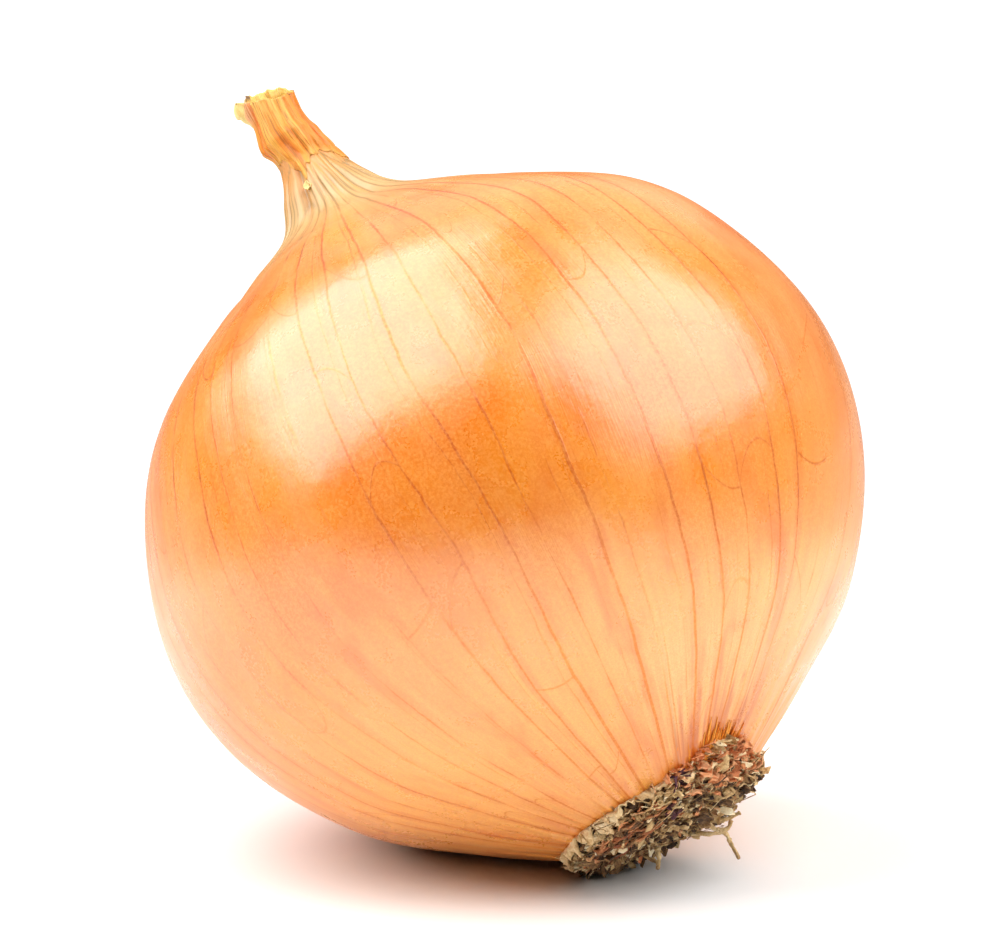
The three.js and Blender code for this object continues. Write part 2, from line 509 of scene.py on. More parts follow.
def makeSkin(material):
    veins, perVein, rows = skinSet["veins"], skinSet["columnsPerVein"], skinSet["rows"]
    columns = veins * perVein
    rng = np.random.default_rng(skinSet["seed"])
    veinTurns = (np.arange(veins) + rng.uniform(-1, 1, veins) * skinSet["veinJitter"]) / veins
    veinAngles = np.append(veinTurns, 1 + veinTurns[0]) * 2 * math.pi
    ribShare = rng.uniform(0.4, 1.3, veins)
    column = np.arange(columns)
    vein, across = column // perVein, (column % perVein) / perVein
    spacing = np.diff(veinAngles)[vein]
    flatAngle = veinAngles[vein] + spacing * across

    step = np.hypot(*np.diff(outline, axis=0).T)
    arc = np.append(0, np.cumsum(step))
    rowArc = np.linspace(0, arc[-1], rows)
    radius, height = [np.interp(rowArc, arc, outline[:, axis])[:, None] for axis in (0, 1)]
    slopeR, slopeH = np.gradient(radius[:, 0], rowArc)[:, None], np.gradient(height[:, 0], rowArc)[:, None]
    along = rowArc[:, None]

    sway = skinSet["veinSway"] * roundNoise(flatAngle, along, 5, 1 / 20, 3)
    angle = flatAngle[None] + sway
    girth = radius * spacing[None]
    fromRoot = 1 - smoothStep(2, 22, along)
    onNeck = smoothStep(67, 80, height)
    onBulb = 1 - onNeck

    rib = (4 * across * (1 - across)) ** 0.7 * ribShare[vein]
    rise = skinSet["ribRise"] * rib[None] * onBulb * np.clip(girth / 5, 0, 1.2)
    rise = rise + skinSet["veinRise"] * (across == 0)[None] * onBulb * np.clip(girth / 3, 0, 1)
    rise = rise + skinSet["lumps"] * roundNoise(angle, along, 2.2, 1 / 24, 4) * onBulb
    rise = rise + 0.5 * skinSet["lumps"] * roundNoise(angle, along, 6, 1 / 16, 5) * onBulb
    folds = roundNoise(angle, along, 15, 1 / 9, 6) + 0.5 * roundNoise(angle, along, 30, 1 / 5, 7)
    rise = rise + skinSet["rootWrinkles"] * folds * fromRoot**2
    fromCrease = degreesApart(angle, skinSet["creaseDegrees"]) * math.pi / 180 * radius
    creaseFade = 1 - smoothStep(skinSet["creaseTop"] * 0.5, skinSet["creaseTop"] * 1.5, height)
    creaseRidge = np.exp(-((fromCrease + 0.1) ** 2) / 0.12) * creaseFade
    creaseLine = np.exp(-((fromCrease - 0.3) ** 2) / 0.05) * creaseFade
    rise = rise + skinSet["creaseRise"] * (creaseRidge - 0.5 * creaseLine)

    pleat, finePleat = pleatsAt(angle, height)
    surfaceRadius = neckRadius(angle, height) * radius / np.interp(height, outline[:, 1], outline[:, 0])
    surfaceRadius = surfaceRadius + rise * slopeH
    surfaceHeight = height - rise * slopeR
    points = roundAxis(surfaceRadius, angle, surfaceHeight, neckCentre(surfaceHeight)).reshape(-1, 3)

    start, stop = np.radians(skinSet["frayDegrees"])
    low, high = skinSet["frayTop"]
    inFray = smoothStep(start - 0.06, start + 0.08, angle) * (1 - smoothStep(stop - 0.1, stop + 0.15, angle))
    threads = np.clip(1 - np.abs(roundNoise(angle, 0 * angle, 60, 1, 10)) * 1.5, 0, 1) ** 1.3
    frayTop = low + (high - low) * threads
    faintFray = 0.15 * (1 - smoothStep(2.5, 6, height))
    fray = inFray * np.maximum(1 - smoothStep(frayTop * 0.4, frayTop, height), faintFray)
    fromCrack = degreesApart(angle, skinSet["crackDegrees"]) * math.pi / 180 * radius
    crackMm = fromCrack - 0.3 * np.sin(along * 1.6)
    creaseMm = fromCrease + 0.12 * roundNoise(angle * 0, height, 1, 1 / 2, 13)
    dashes = smoothStep(-0.25, 0.3, roundNoise(angle, along, 3, 2.2, 12))
    crackShare = (1 - smoothStep(1.5, 3.4, along)) * dashes
    pleatLine = onNeck * (1 - smoothStep(0.01, 0.1, pleat))
    pleatLine = pleatLine + 0.7 * onNeck * (1 - smoothStep(0.01, 0.14, finePleat))
    dark = np.clip(pleatLine * 0.9, 0, 1)
    pale = np.clip(onNeck * (pleat * 0.7 + 0.3 * finePleat), 0, 1)

    faces = gridFaces(rows, columns, True)
    below, above = len(points), len(points) + 1
    rootEnd, neckEnd = [0, 0, 1.4], [*neckCentre(onionSet["coreTop"]), onionSet["coreTop"] + 0.4]
    points = np.vstack([points, [rootEnd, neckEnd]])
    ring = np.arange(columns)
    ringTo = (ring + 1) % columns
    last = (rows - 1) * columns
    blank = np.full(columns, -1)
    caps = np.vstack([
        np.stack([ringTo, ring, np.full(columns, below), blank], -1),
        np.stack([last + ring, last + ringTo, np.full(columns, above), blank], -1),
    ])

    def perPoint(value):
        value = np.broadcast_to(value, (rows, columns)).reshape(-1)
        return np.append(value, [value[:columns].mean(), value[-columns:].mean()])

    pile = newPile()
    addShape(
        pile, points, np.vstack([faces, caps]),
        girth=perPoint(girth), height=perPoint(height), fray=perPoint(fray), dark=perPoint(dark),
        pale=perPoint(pale), crack=perPoint(crackShare), crackMm=perPoint(crackMm),
        crease=perPoint(creaseFade), creaseMm=perPoint(creaseMm),
        grainX=perPoint(bulbRadius * np.cos(flatAngle)), grainY=perPoint(bulbRadius * np.sin(flatAngle)),
        grainZ=perPoint(along),
    )
    piece = makePiece("bulb_skin", pile, material, ["bulb"])
    mesh = piece.data
    corner = np.zeros(len(mesh.loops), np.int32)
    mesh.loops.foreach_get("vertex_index", corner)
    size = np.zeros(len(mesh.polygons), np.int32)
    mesh.polygons.foreach_get("loop_total", size)
    face = np.repeat(np.arange(len(size)), size)
    starts, column = np.append(0, np.cumsum(size)[:-1]), corner % columns
    leftmost, rightmost = [pick.reduceat(column, starts)[face] for pick in (np.minimum, np.maximum)]
    onCap = corner >= rows * columns
    u = np.where((column == 0) & (rightmost == columns - 1), 1.0, column / columns)
    u = np.where(onCap, (leftmost + 0.5) / columns, u)
    v = np.where(onCap, corner - rows * columns, 0.01 + 0.98 * (corner // columns / (rows - 1)))
    layer = mesh.uv_layers.new(name="OFBake")
    layer.data.foreach_set("uv", np.stack([u, v], -1).astype(np.float32).reshape(-1))
    return piece


# Effects that several finishes share.
def makeMottle():
    group, given, out = effectGroup(
        "mottle",
        [("Place", "Vector", (0, 0, 0)), ("Size", "Float", 10.0), ("Contrast", "Float", 1.0)],
        [("Mask", "Float")],
    )
    scale = calc(group, "DIVIDE", 1.0, given["Size"])
    broad = cloud(group, given["Place"], scale, 1.5, 0.5, 0.4)
    centred = times(group, minus(group, broad, 0.5), given["Contrast"])
    feed(group, out["Mask"], plus(group, times(group, centred, 2.6), 0.5, clamp=True))
    return group


def makeFibres():
    group, given, out = effectGroup(
        "fibres",
        [("Grain", "Vector", (0, 0, 0)), ("Width", "Float", 0.5), ("Length", "Float", 12.0)],
        [("Streaks", "Float"), ("Fine", "Float")],
    )
    cross = calc(group, "DIVIDE", 1.0, given["Width"])
    down = calc(group, "DIVIDE", 1.0, given["Length"])
    drawn = stretch(group, given["Grain"], joined(group, X=cross, Y=cross, Z=down))
    feed(group, out["Streaks"], span(group, cloud(group, drawn, 1.0, 2.0, 0.6), 0.3, 0.7))
    feed(group, out["Fine"], span(group, cloud(group, drawn, 2.6, 1.0, 0.5), 0.3, 0.7))
    return group


def makeSpeckle():
    group, given, out = effectGroup(
        "speckle",
        [("Place", "Vector", (0, 0, 0)), ("Size", "Float", 0.4)],
        [("Mask", "Float"), ("Grain", "Float")],
    )
    dots = cloud(group, given["Place"], calc(group, "DIVIDE", 1.0, given["Size"]), 1.5, 0.6)
    feed(group, out["Mask"], span(group, dots, 0.32, 0.68))
    feed(group, out["Grain"], dots)
    return group


# Thin lines that run down the skin at every whole number of Across, with their own strength and fading.
def makeVeins():
    group, given, out = effectGroup(
        "veins",
        [
            ("Across", "Float", 0.0), ("Along", "Float", 0.0), ("Girth", "Float", 5.0),
            ("Width", "Float", 0.2), ("Shift", "Float", 0.0), ("Scatter", "Float", 0.0),
            ("Rarity", "Float", 0.0), ("Count", "Float", 50.0),
        ],
        [("Mask", "Float")],
    )
    moved = plus(group, given["Across"], given["Shift"])
    nearest = calc(group, "WRAP", calc(group, "ROUND", moved), given["Count"], 0.0)
    own = addNode(group, "ShaderNodeTexWhiteNoise", noise_dimensions="3D")
    feed(group, own.inputs["Vector"], joined(group, X=nearest, Y=given["Shift"]))
    ownPlace, slowly = times(group, nearest, 7.31), times(group, given["Along"], 0.11)
    run = joined(group, X=ownPlace, Y=slowly, Z=given["Shift"])
    wander = minus(group, cloud(group, run, 1.0, 3.0, 0.6), 0.5)
    offset = times(group, minus(group, own.outputs["Value"], 0.5), given["Scatter"])
    centre = plus(group, calc(group, "ROUND", moved), plus(group, offset, times(group, wander, 0.22)))
    apart = times(group, calc(group, "ABSOLUTE", minus(group, moved, centre)), given["Girth"])
    fading = cloud(group, stretch(group, run, (1.0, 1.7, 1.0)), 1.0, 2.0, 0.5)
    fading = plus(group, fading, times(group, minus(group, own.outputs["Value"], 0.5), 0.5))
    strength = span(group, fading, plus(group, given["Rarity"], 0.12), plus(group, given["Rarity"], 0.62))
    width = times(group, given["Width"], plus(group, 0.55, strength))
    line = fade(group, calc(group, "DIVIDE", apart, width), 0.4, 1.0)
    feed(group, out["Mask"], times(group, line, strength))
    return group


# Short curved links between neighbouring veins, at most one to a cell of the skin.
def makeLinks():
    group, given, out = effectGroup(
        "vein links",
        [
            ("Across", "Float", 0.0), ("Along", "Float", 0.0),
            ("Girth", "Float", 5.0), ("Cell", "Float", 14.0),
            ("Width", "Float", 0.2), ("Share", "Float", 0.25),
        ],
        [("Mask", "Float")],
    )
    step = calc(group, "DIVIDE", given["Along"], given["Cell"])
    key = joined(group, X=calc(group, "FLOOR", given["Across"]), Y=calc(group, "FLOOR", step))
    own = addNode(group, "ShaderNodeTexWhiteNoise", noise_dimensions="3D")
    feed(group, own.inputs["Vector"], key)
    pick = addNode(group, "ShaderNodeSeparateXYZ")
    feed(group, pick.inputs[0], own.outputs["Color"])
    inCell = calc(group, "FRACT", given["Across"])
    level = minus(group, calc(group, "FRACT", step), 0.5)
    lean = times(group, minus(group, pick.outputs["X"], 0.5), 1.1)
    curve = times(group, minus(group, pick.outputs["Y"], 0.5), 1.6)
    bow = times(group, times(group, inCell, minus(group, 1.0, inCell)), curve)
    target = plus(group, times(group, minus(group, inCell, 0.5), lean), bow)
    apart = times(group, calc(group, "ABSOLUTE", minus(group, level, target)), given["Cell"])
    apart = times(group, apart, 0.5)
    line = fade(group, calc(group, "DIVIDE", apart, given["Width"]), 0.2, 1.0)
    chosen = calc(group, "LESS_THAN", pick.outputs["Z"], given["Share"])
    feed(group, out["Mask"], times(group, line, chosen))
    return group


mottle, fibres, speckle = makeMottle(), makeFibres(), makeSpeckle()
veinLines, veinLinks = makeVeins(), makeLinks()

skinFinish = {
    "golden": (0.84, 0.262, 0.018),
    "orange": (0.78, 0.182, 0.003),
    "pink": (0.85, 0.3, 0.075),
    "peach": (0.94, 0.53, 0.105),
    "paintedLightPeach": (0.97, 0.7, 0.31),
    "darkBandGold": (0.84, 0.225, 0.004),
    "limbSheenPink": (0.92, 0.39, 0.17),
    "rust": (0.68, 0.13, 0.0),
    "brown": (0.56, 0.135, 0.002),
    "vein": (0.8, 0.56, 0.1),
    "dot": (0.95, 0.42, 0.1),
    "paleNeck": (0.5, 0.228, 0.037),
    "neckOrange": (0.62, 0.23, 0.015),
    "ridge": (0.53, 0.315, 0.098),
    "pleatLine": (0.25, 0.135, 0.016),
    "fray": (0.55, 0.115, 0.001),
    "crack": (0.12, 0.035, 0.015),
    "sheenTint": (1.0, 0.78, 0.66, 1.0),
}

# Where each patch of colour lies and how strong it is. A turn is a share of the way round the bulb. Heights
# run up the onion's own axis and levels up from the floor, both in mm. A window is where a patch sets in,
# then where it ends.
skinPatches = {
    "mottle": {"Size": 9.0, "Contrast": 1.1},
    "pinkStreaks": 0.55,
    "goldStreaks": 0.35,
    # Peach towards the root is partly the skin's own colour and partly a painted reflection of the bright
    # floor.
    "peachHeight": (4.0, 34.0),
    "peach": 0.84,
    # Painted light: lighter peach on the low right side, near the floor.
    "paintedLightTurn": ((0.365, 0.435), (0.5, 0.57)),
    "paintedLightHeight": (0.0, 5.0),
    "paintedLightLevel": (28.0, 40.0),
    "right": 0.5,
    # Painted shade: deeper gold along the dark belly band on the right.
    "darkBandTurn": ((0.41, 0.47), (0.52, 0.62)),
    "darkBandLevel": ((37.0, 43.0), (48.0, 57.0)),
    "gold": 0.6,
    # Painted sheen: pink on the right limb and the far side.
    "limbSheenTurn": ((0.5, 0.535), (0.75, 0.85)),
    "limbSheenHeight": (16.0, 25.0),
    "far": 0.35,
    "rootHeight": (0.0, 16.0),
    "rootPink": 0.12,
    # Painted shade: a soft brown patch in the middle of the dark belly band.
    "bellyShadeTurn": 0.362,
    "bellyShadeHeight": 31.5,
    "bellyShadeTurnReach": (0.0, 0.085),
    "bellyShadeHeightReach": (1.0, 14.0),
    "bellyShade": 0.38,
    "shade": 0.5,
    "neckHeight": (70.5, 79.5),
    "underHuskHeight": (80.2, 85.2),
    "underHusk": 0.85,
    "neckRidges": 0.8,
    "neckLines": 0.75,
    "neckLineHeight": (80.0, 84.0),
    "creaseRidge": 0.55,
    "creaseSeam": 0.9,
}

# Strength of the rusty streaks, of the speckle and of each kind of vein line, with the widths in mm.
skinGrain = {
    "threads": {"Width": 0.55, "Length": 14.0},
    "wideThreads": {"Width": 1.8, "Length": 30.0},
    "threadRust": 0.16,
    "wideRust": 0.22,
    "rootRust": 0.35,
    "dotSize": 0.32,
    "dots": 0.38,
    "darkDotSize": 0.18,
    "darkDots": 0.32,
    "veins": (
        {"Width": 0.12, "Rarity": 0.0},
        {"Width": 0.08, "Shift": 0.5, "Scatter": 0.6, "Rarity": 0.24},
        {"Width": 0.07, "Shift": 0.25, "Scatter": 0.5, "Rarity": 0.27},
        {"Width": 0.75, "Scatter": 0.1, "Rarity": 0.2},
    ),
    "linkWidth": 0.11,
    "minor": 0.7,
    "faint": 0.5,
    "link": 0.75,
    "veinBand": 0.4,
    "veinsEnd": (72.0, 82.0),
    "veinsOnNeck": 0.3,
    "veinMetal": (0.12, 0.5),
    "roughness": (0.24, 0.33),
    "reliefDepth": 0.013,
    "swellDepth": 0.045,
}


def makeSkinMaterial():
    patches, fine = skinPatches, skinGrain
    material, tree, shader = newMaterial(
        "papery skin", Specular_IOR_Level=1.15, Sheen_Weight=0.12, Sheen_Roughness=0.35,
        Sheen_Tint=skinFinish["sheenTint"],
    )
    place, grain = placeInMm(tree), paintedGrain(tree)
    spot, aboveFloor = addNode(tree, "ShaderNodeSeparateXYZ"), addNode(tree, "ShaderNodeSeparateXYZ")
    feed(tree, spot.inputs[0], addNode(tree, "ShaderNodeUVMap", uv_map="OFBake").outputs[0])
    feed(tree, aboveFloor.inputs[0], place)
    turn, level = spot.outputs["X"], aboveFloor.outputs["Z"]
    along, girth, height = [painted(tree, name) for name in ("grainZ", "girth", "height")]
    across = times(tree, turn, float(skinSet["veins"]))
    nearRoot = fade(tree, height, *patches["rootHeight"])

    mottled = useGroup(tree, mottle, Place=place, **patches["mottle"])["Mask"]
    colour = mixColour(tree, mottled, skinFinish["orange"], skinFinish["golden"])
    pinkish = cloud(tree, stretch(tree, grain, (0.16, 0.16, 0.035)), 1.0, 3.0, 0.55, 0.3)
    colour = tint(tree, colour, span(tree, pinkish, 0.48, 0.72), patches["pinkStreaks"], skinFinish["pink"])
    yellow = cloud(tree, stretch(tree, grain, (0.3, 0.3, 0.05)), 1.0, 2.0, 0.5)
    colour = tint(tree, colour, span(tree, yellow, 0.55, 0.75), patches["goldStreaks"], skinFinish["golden"])
    # Lighter peach towards the root: partly the skin's own colour, partly a painted reflection of the bright
    # floor on the lower bulb.
    lowPeachAndFloorSheen = fade(tree, height, *patches["peachHeight"])
    colour = tint(tree, colour, lowPeachAndFloorSheen, patches["peach"], skinFinish["peach"])
    # Painted light from the bright floor: lighter peach on the low right of the bulb, below a level above
    # the floor.
    lowRightPaintedLight = window(tree, turn, *patches["paintedLightTurn"])
    for part in (span(tree, height, *patches["paintedLightHeight"]), fade(tree, level, *patches["paintedLightLevel"])):
        lowRightPaintedLight = times(tree, lowRightPaintedLight, part)
    colour = tint(tree, colour, lowRightPaintedLight, patches["right"], skinFinish["paintedLightPeach"])
    # Painted shade: deeper gold that carries the dark belly band, where the skin reflects the dim room,
    # across to the right edge.
    darkBandShade = window(tree, level, *patches["darkBandLevel"])
    darkBandShade = times(tree, darkBandShade, window(tree, turn, *patches["darkBandTurn"]))
    colour = tint(tree, colour, darkBandShade, patches["gold"], skinFinish["darkBandGold"])
    # Painted sheen: pink where the right limb and far side catch grazing reflections.
    limbSheen = times(tree, window(tree, turn, *patches["limbSheenTurn"]), span(tree, height, *patches["limbSheenHeight"]))
    colour = tint(tree, colour, limbSheen, patches["far"], skinFinish["limbSheenPink"])
    colour = tint(tree, colour, nearRoot, patches["rootPink"], skinFinish["pink"])

    # Painted shade: a soft brown patch that deepens the middle of the dark belly band.
    fromBellyShade = calc(tree, "ABSOLUTE", minus(tree, turn, patches["bellyShadeTurn"]))
    fromBelly = calc(tree, "ABSOLUTE", minus(tree, height, patches["bellyShadeHeight"]))
    bellyShade = fade(tree, fromBellyShade, *patches["bellyShadeTurnReach"])
    bellyShade = times(tree, bellyShade, fade(tree, fromBelly, *patches["bellyShadeHeightReach"]))
    blotch = cloud(tree, stretch(tree, grain, (0.12, 0.12, 0.06)), 1.0, 2.0, 0.5)
    bellyShade = times(tree, bellyShade, span(tree, blotch, 0.3, 0.6, 0.4, 1.0))
    colour = tint(tree, colour, bellyShade, patches["bellyShade"], skinFinish["brown"])

    thread = useGroup(tree, fibres, Grain=grain, **fine["threads"])
    wide = useGroup(tree, fibres, Grain=grain, **fine["wideThreads"])
    colour = tint(tree, colour, thread["Streaks"], fine["threadRust"], skinFinish["rust"])
    colour = tint(tree, colour, wide["Streaks"], fine["wideRust"], skinFinish["rust"])
    colour = tint(tree, colour, times(tree, nearRoot, thread["Fine"]), fine["rootRust"], skinFinish["rust"])

    common = {"Across": across, "Along": along, "Girth": girth}
    veins = [useGroup(tree, veinLines, **common, **kind)["Mask"] for kind in fine["veins"]]
    main, minor, faint, band = veins
    link = useGroup(tree, veinLinks, **common, Width=fine["linkWidth"])["Mask"]
    colour = tint(tree, colour, band, fine["veinBand"], skinFinish["rust"])
    lines = main
    for mask, share in ((minor, fine["minor"]), (faint, fine["faint"]), (link, fine["link"])):
        lines = calc(tree, "MAXIMUM", lines, times(tree, mask, share))
    lines = times(tree, lines, span(tree, height, *fine["veinsEnd"], 1.0, fine["veinsOnNeck"]))
    colour = mixColour(tree, lines, colour, skinFinish["vein"], "MULTIPLY")

    dots, dotGrain = useGroup(tree, speckle, Place=place, Size=fine["dotSize"])
    colour = tint(tree, colour, dots, fine["dots"], skinFinish["dot"])
    darkDots = useGroup(tree, speckle, Place=place, Size=fine["darkDotSize"])["Mask"]
    colour = tint(tree, colour, darkDots, fine["darkDots"], skinFinish["rust"])
    shade = cloud(tree, stretch(tree, grain, (0.14, 0.14, 0.07)), 1.0, 3.0, 0.6, 0.5)
    colour = tint(tree, colour, span(tree, shade, 0.5, 0.74), patches["shade"], skinFinish["rust"])

    neckShare = span(tree, plus(tree, height, times(tree, wide["Streaks"], 3.0)), *patches["neckHeight"])
    colour = mixColour(tree, neckShare, colour, skinFinish["paleNeck"])
    colour = tint(tree, colour, painted(tree, "pale"), patches["neckRidges"], skinFinish["ridge"])
    underHusk = plus(tree, height, times(tree, thread["Streaks"], 3.0))
    underHusk = span(tree, underHusk, *patches["underHuskHeight"])
    colour = tint(tree, colour, underHusk, patches["underHusk"], skinFinish["neckOrange"])
    colour = mixColour(tree, painted(tree, "dark"), colour, skinFinish["pleatLine"])
    neckLines = times(tree, times(tree, main, neckShare), fade(tree, height, *patches["neckLineHeight"]))
    colour = tint(tree, colour, neckLines, patches["neckLines"], skinFinish["pleatLine"])

    crease, fromCrease = painted(tree, "crease"), painted(tree, "creaseMm")
    fromRidge = calc(tree, "ABSOLUTE", plus(tree, fromCrease, 0.06))
    ridge = times(tree, fade(tree, fromRidge, 0.04, 0.22), crease)
    colour = tint(tree, colour, ridge, patches["creaseRidge"], skinFinish["ridge"])
    fromSeam = calc(tree, "ABSOLUTE", minus(tree, fromCrease, 0.26))
    seam = times(tree, fade(tree, fromSeam, 0.03, 0.14), crease)
    colour = tint(tree, colour, seam, patches["creaseSeam"], skinFinish["vein"], "MULTIPLY")
    frayed = times(tree, painted(tree, "fray"), plus(tree, 0.6, times(tree, thread["Streaks"], 0.4)))
    colour = mixColour(tree, frayed, colour, skinFinish["fray"])
    crack = fade(tree, calc(tree, "ABSOLUTE", painted(tree, "crackMm")), 0.05, 0.2)
    colour = mixColour(tree, times(tree, crack, painted(tree, "crack")), colour, skinFinish["crack"])
    feed(tree, shader.inputs["Base Color"], colour)

    # A trace of metal keeps the white sheen off the veins, least along the dark belly.
    dull = calc(tree, "MAXIMUM", lines, times(tree, seam, 0.4))
    metal = times(tree, dull, span(tree, fromBelly, 4.0, 16.0, *fine["veinMetal"]))
    feed(tree, shader.inputs["Metallic"], metal)
    patchy = useGroup(tree, mottle, Place=place, Size=6.0)["Mask"]
    rough = span(tree, patchy, 0.0, 1.0, *fine["roughness"])
    for mask, share in ((dots, 0.02), (lines, 0.05), (neckShare, 0.2)):
        rough = plus(tree, rough, times(tree, mask, share))
    feed(tree, shader.inputs["Roughness"], rough)
    relief = times(tree, dotGrain, 0.5)
    for mask, share in ((thread["Fine"], 0.35), (lines, 0.6)):
        relief = plus(tree, relief, times(tree, mask, share))
    swell = bump(tree, cloud(tree, place, 0.55, 2.0, 0.55), fine["swellDepth"])
    feed(tree, shader.inputs["Normal"], bump(tree, relief, fine["reliefDepth"], 1.0, swell))
    return material


makeSkin(makeSkinMaterial())


# A closed thin sheet from the grids of its two sides, each rows x columns x 3.
def sheetOf(outer, inner):
    rows, columns = outer.shape[:2]
    points = np.concatenate([outer.reshape(-1, 3), inner.reshape(-1, 3)])
    front = gridFaces(rows, columns, False)
    back = gridFaces(rows, columns, False, rows * columns)[:, ::-1]
    number = np.arange(rows * columns).reshape(rows, columns)
    border = np.concatenate([number[0], number[1:, -1], number[-1, -2::-1], number[-2:0:-1, 0]])
    after = np.roll(border, -1)
    side = np.stack([after, border, border + rows * columns, after + rows * columns], -1)
    return points, np.vstack([front, back, side])


# The husk: a torn dry leaf wrapped round the upper neck. Degrees run round the axis, heights up it.
huskSet = {
    "columns": 250,
    "rows": 60,
    "fromDegrees": -44,
    "toDegrees": 324,
    "radiusAt": (
        (81, 4.9), (83, 4.15), (85, 3.45), (87, 3.3), (88.3, 3.35),
        (89.5, 3.1), (91, 2.85), (93, 2.75), (96, 2.7),
    ),
    "lowerEdge": (
        (-44, 84.5), (20, 86), (60, 86.2), (92, 85.6), (107, 83.6), (115, 81.9), (121, 83.2), (140, 84.4),
        (165, 84.5), (190, 84.1), (206, 83.5), (224, 83.2), (240, 84), (270, 84.5), (300, 84),
    ),
    "topMiddle": 94.35,
    "topSlope": 1.7,
    "highSideDegrees": 344,
    "thickness": 0.24,
    "foldDepth": 0.3,
}


def bell(value, middle, width):
    return np.exp(-(((value - middle) / width) ** 2))


def makeHusk(material):
    columns, rows = huskSet["columns"], huskSet["rows"]
    degrees = np.linspace(huskSet["fromDegrees"], huskSet["toDegrees"], columns)[None]
    angle = np.radians(degrees)
    tear = roundNoise(angle, 0 * angle, 9, 1, 22) * 0.35 + roundNoise(angle, 0 * angle, 24, 1, 23) * 0.22
    lower = np.interp(degrees, *zip(*huskSet["lowerEdge"])) + tear
    fromHighSide = angle - math.radians(huskSet["highSideDegrees"])
    upper = huskSet["topMiddle"] + huskSet["topSlope"] * np.cos(fromHighSide)
    upper = upper + roundNoise(angle, 0 * angle, 5, 1, 24) * 0.16
    upper = upper + 0.4 * bell(degrees, 52, 9) - 0.5 * bell(degrees, 84, 10)
    upper = upper + 0.25 * bell(degrees, 214, 8) + 0.3 * bell(degrees, 290, 30)
    share = np.linspace(0, 1, rows)[:, None]
    height = lower + (upper - lower) * share
    angle = angle + 0.05 * roundNoise(angle, height, 2, 1 / 5, 25)
    broad = roundNoise(angle, height, 2.3, 1 / 20, 26)
    narrow = roundNoise(angle, height, 5.2, 1 / 15, 27)
    broadFold, narrowFold = np.minimum(2.6 * np.abs(broad), 1), np.minimum(2.6 * np.abs(narrow), 1)
    fold = np.clip(broadFold * 0.6 + narrowFold * 0.4, 0, 1)
    fine = roundNoise(angle, height, 8, 1 / 6, 28)
    radius = np.interp(height, *zip(*huskSet["radiusAt"]))
    radius = radius + huskSet["foldDepth"] * (fold - 0.5) * 2 + 0.08 * fine
    radius = radius + 0.08 * bell(degrees, 45, 32) * bell(height, 88.4, 2)
    radius = radius + 0.45 * bell(degrees, 46, 17) * bell(height, 93.2, 0.9)
    radius = radius - 0.7 * bell(degrees, 40, 40) * smoothStep(93.8, 95.6, height)
    radius = radius + 0.25 * (degrees - huskSet["fromDegrees"]) / 366
    radius = radius - 0.3 * bell(degrees, 215, 45)
    clinging = neckRadius(angle, height) + 0.06
    clinging = clinging + 0.06 * np.clip(roundNoise(angle, 0 * height, 4, 1, 29), 0, 1)
    radius = np.maximum(clinging, clinging + (radius - clinging) * smoothStep(0, 2.4, height - lower))
    curlIn = smoothStep(0.93, 1, share)
    radius = radius - 0.1 * curlIn * np.clip(roundNoise(angle, 0 * height, 4, 1, 30), -0.6, 1)
    edge = np.minimum(share, 1 - share) * (rows - 1)
    thickness = huskSet["thickness"] * (0.35 + 0.65 * np.clip(edge / 4, 0, 1)) + 0 * radius
    wall = lambda reach: roundAxis(reach, angle, height, neckCentre(height))
    points, faces = sheetOf(wall(radius), wall(radius - thickness))
    pile = newPile()
    flat = rows * columns
    both = lambda value: np.tile(np.broadcast_to(value, (rows, columns)).reshape(-1), 2)
    addShape(
        pile, points, faces, fold=both(fold), height=both(height), topEdge=both(upper - height),
        lowEdge=both(height - lower), around=both(degrees), inner=np.repeat([0.0, 1.0], flat),
        grainX=both(4 * np.cos(angle)), grainY=both(4 * np.sin(angle)), grainZ=both(height),
    )
    return makePiece("neck_husk_leaf", pile, material, ["neck_husk"])


huskFinish = {
    "yellow": (0.74, 0.36, 0.05),
    "pale": (0.76, 0.44, 0.1),
    "orange": (0.78, 0.27, 0.014),
    "deep": (0.67, 0.16, 0.003),
    "pink": (0.74, 0.37, 0.2),
    "line": (0.34, 0.11, 0.008),
    "edge": (0.16, 0.07, 0.02),
    "inside": (0.76, 0.48, 0.11),
    "hem": (0.6, 0.34, 0.06),
}


# Where the husk's patches lie. Degrees run round the neck and heights up it in mm. A window is where a patch
# sets in, then where it ends.
huskPatches = {
    "frontTopHeight": (88.0, 93.5),
    "frontTopEnd": (150.0, 185.0),
    "frontTop": 0.7,
    "rightSide": ((150.0, 172.0), (235.0, 260.0)),
    "right": 0.5,
    "flapEnd": (68.0, 80.0),
    "flapHeight": (90.8, 93.0),
    "flap": 0.75,
    "threads": 0.6,
    "creases": 0.7,
    "valleys": 0.55,
    "rimWidth": (0.05, 0.4),
    "rimSpots": 0.85,
    "corner": ((32.0, 42.0), (56.0, 66.0)),
    "cornerWidth": (0.25, 0.8),
    "cornerDark": 0.9,
    "hemWidth": (0.4, 1.8),
    "hem": 0.6,
}


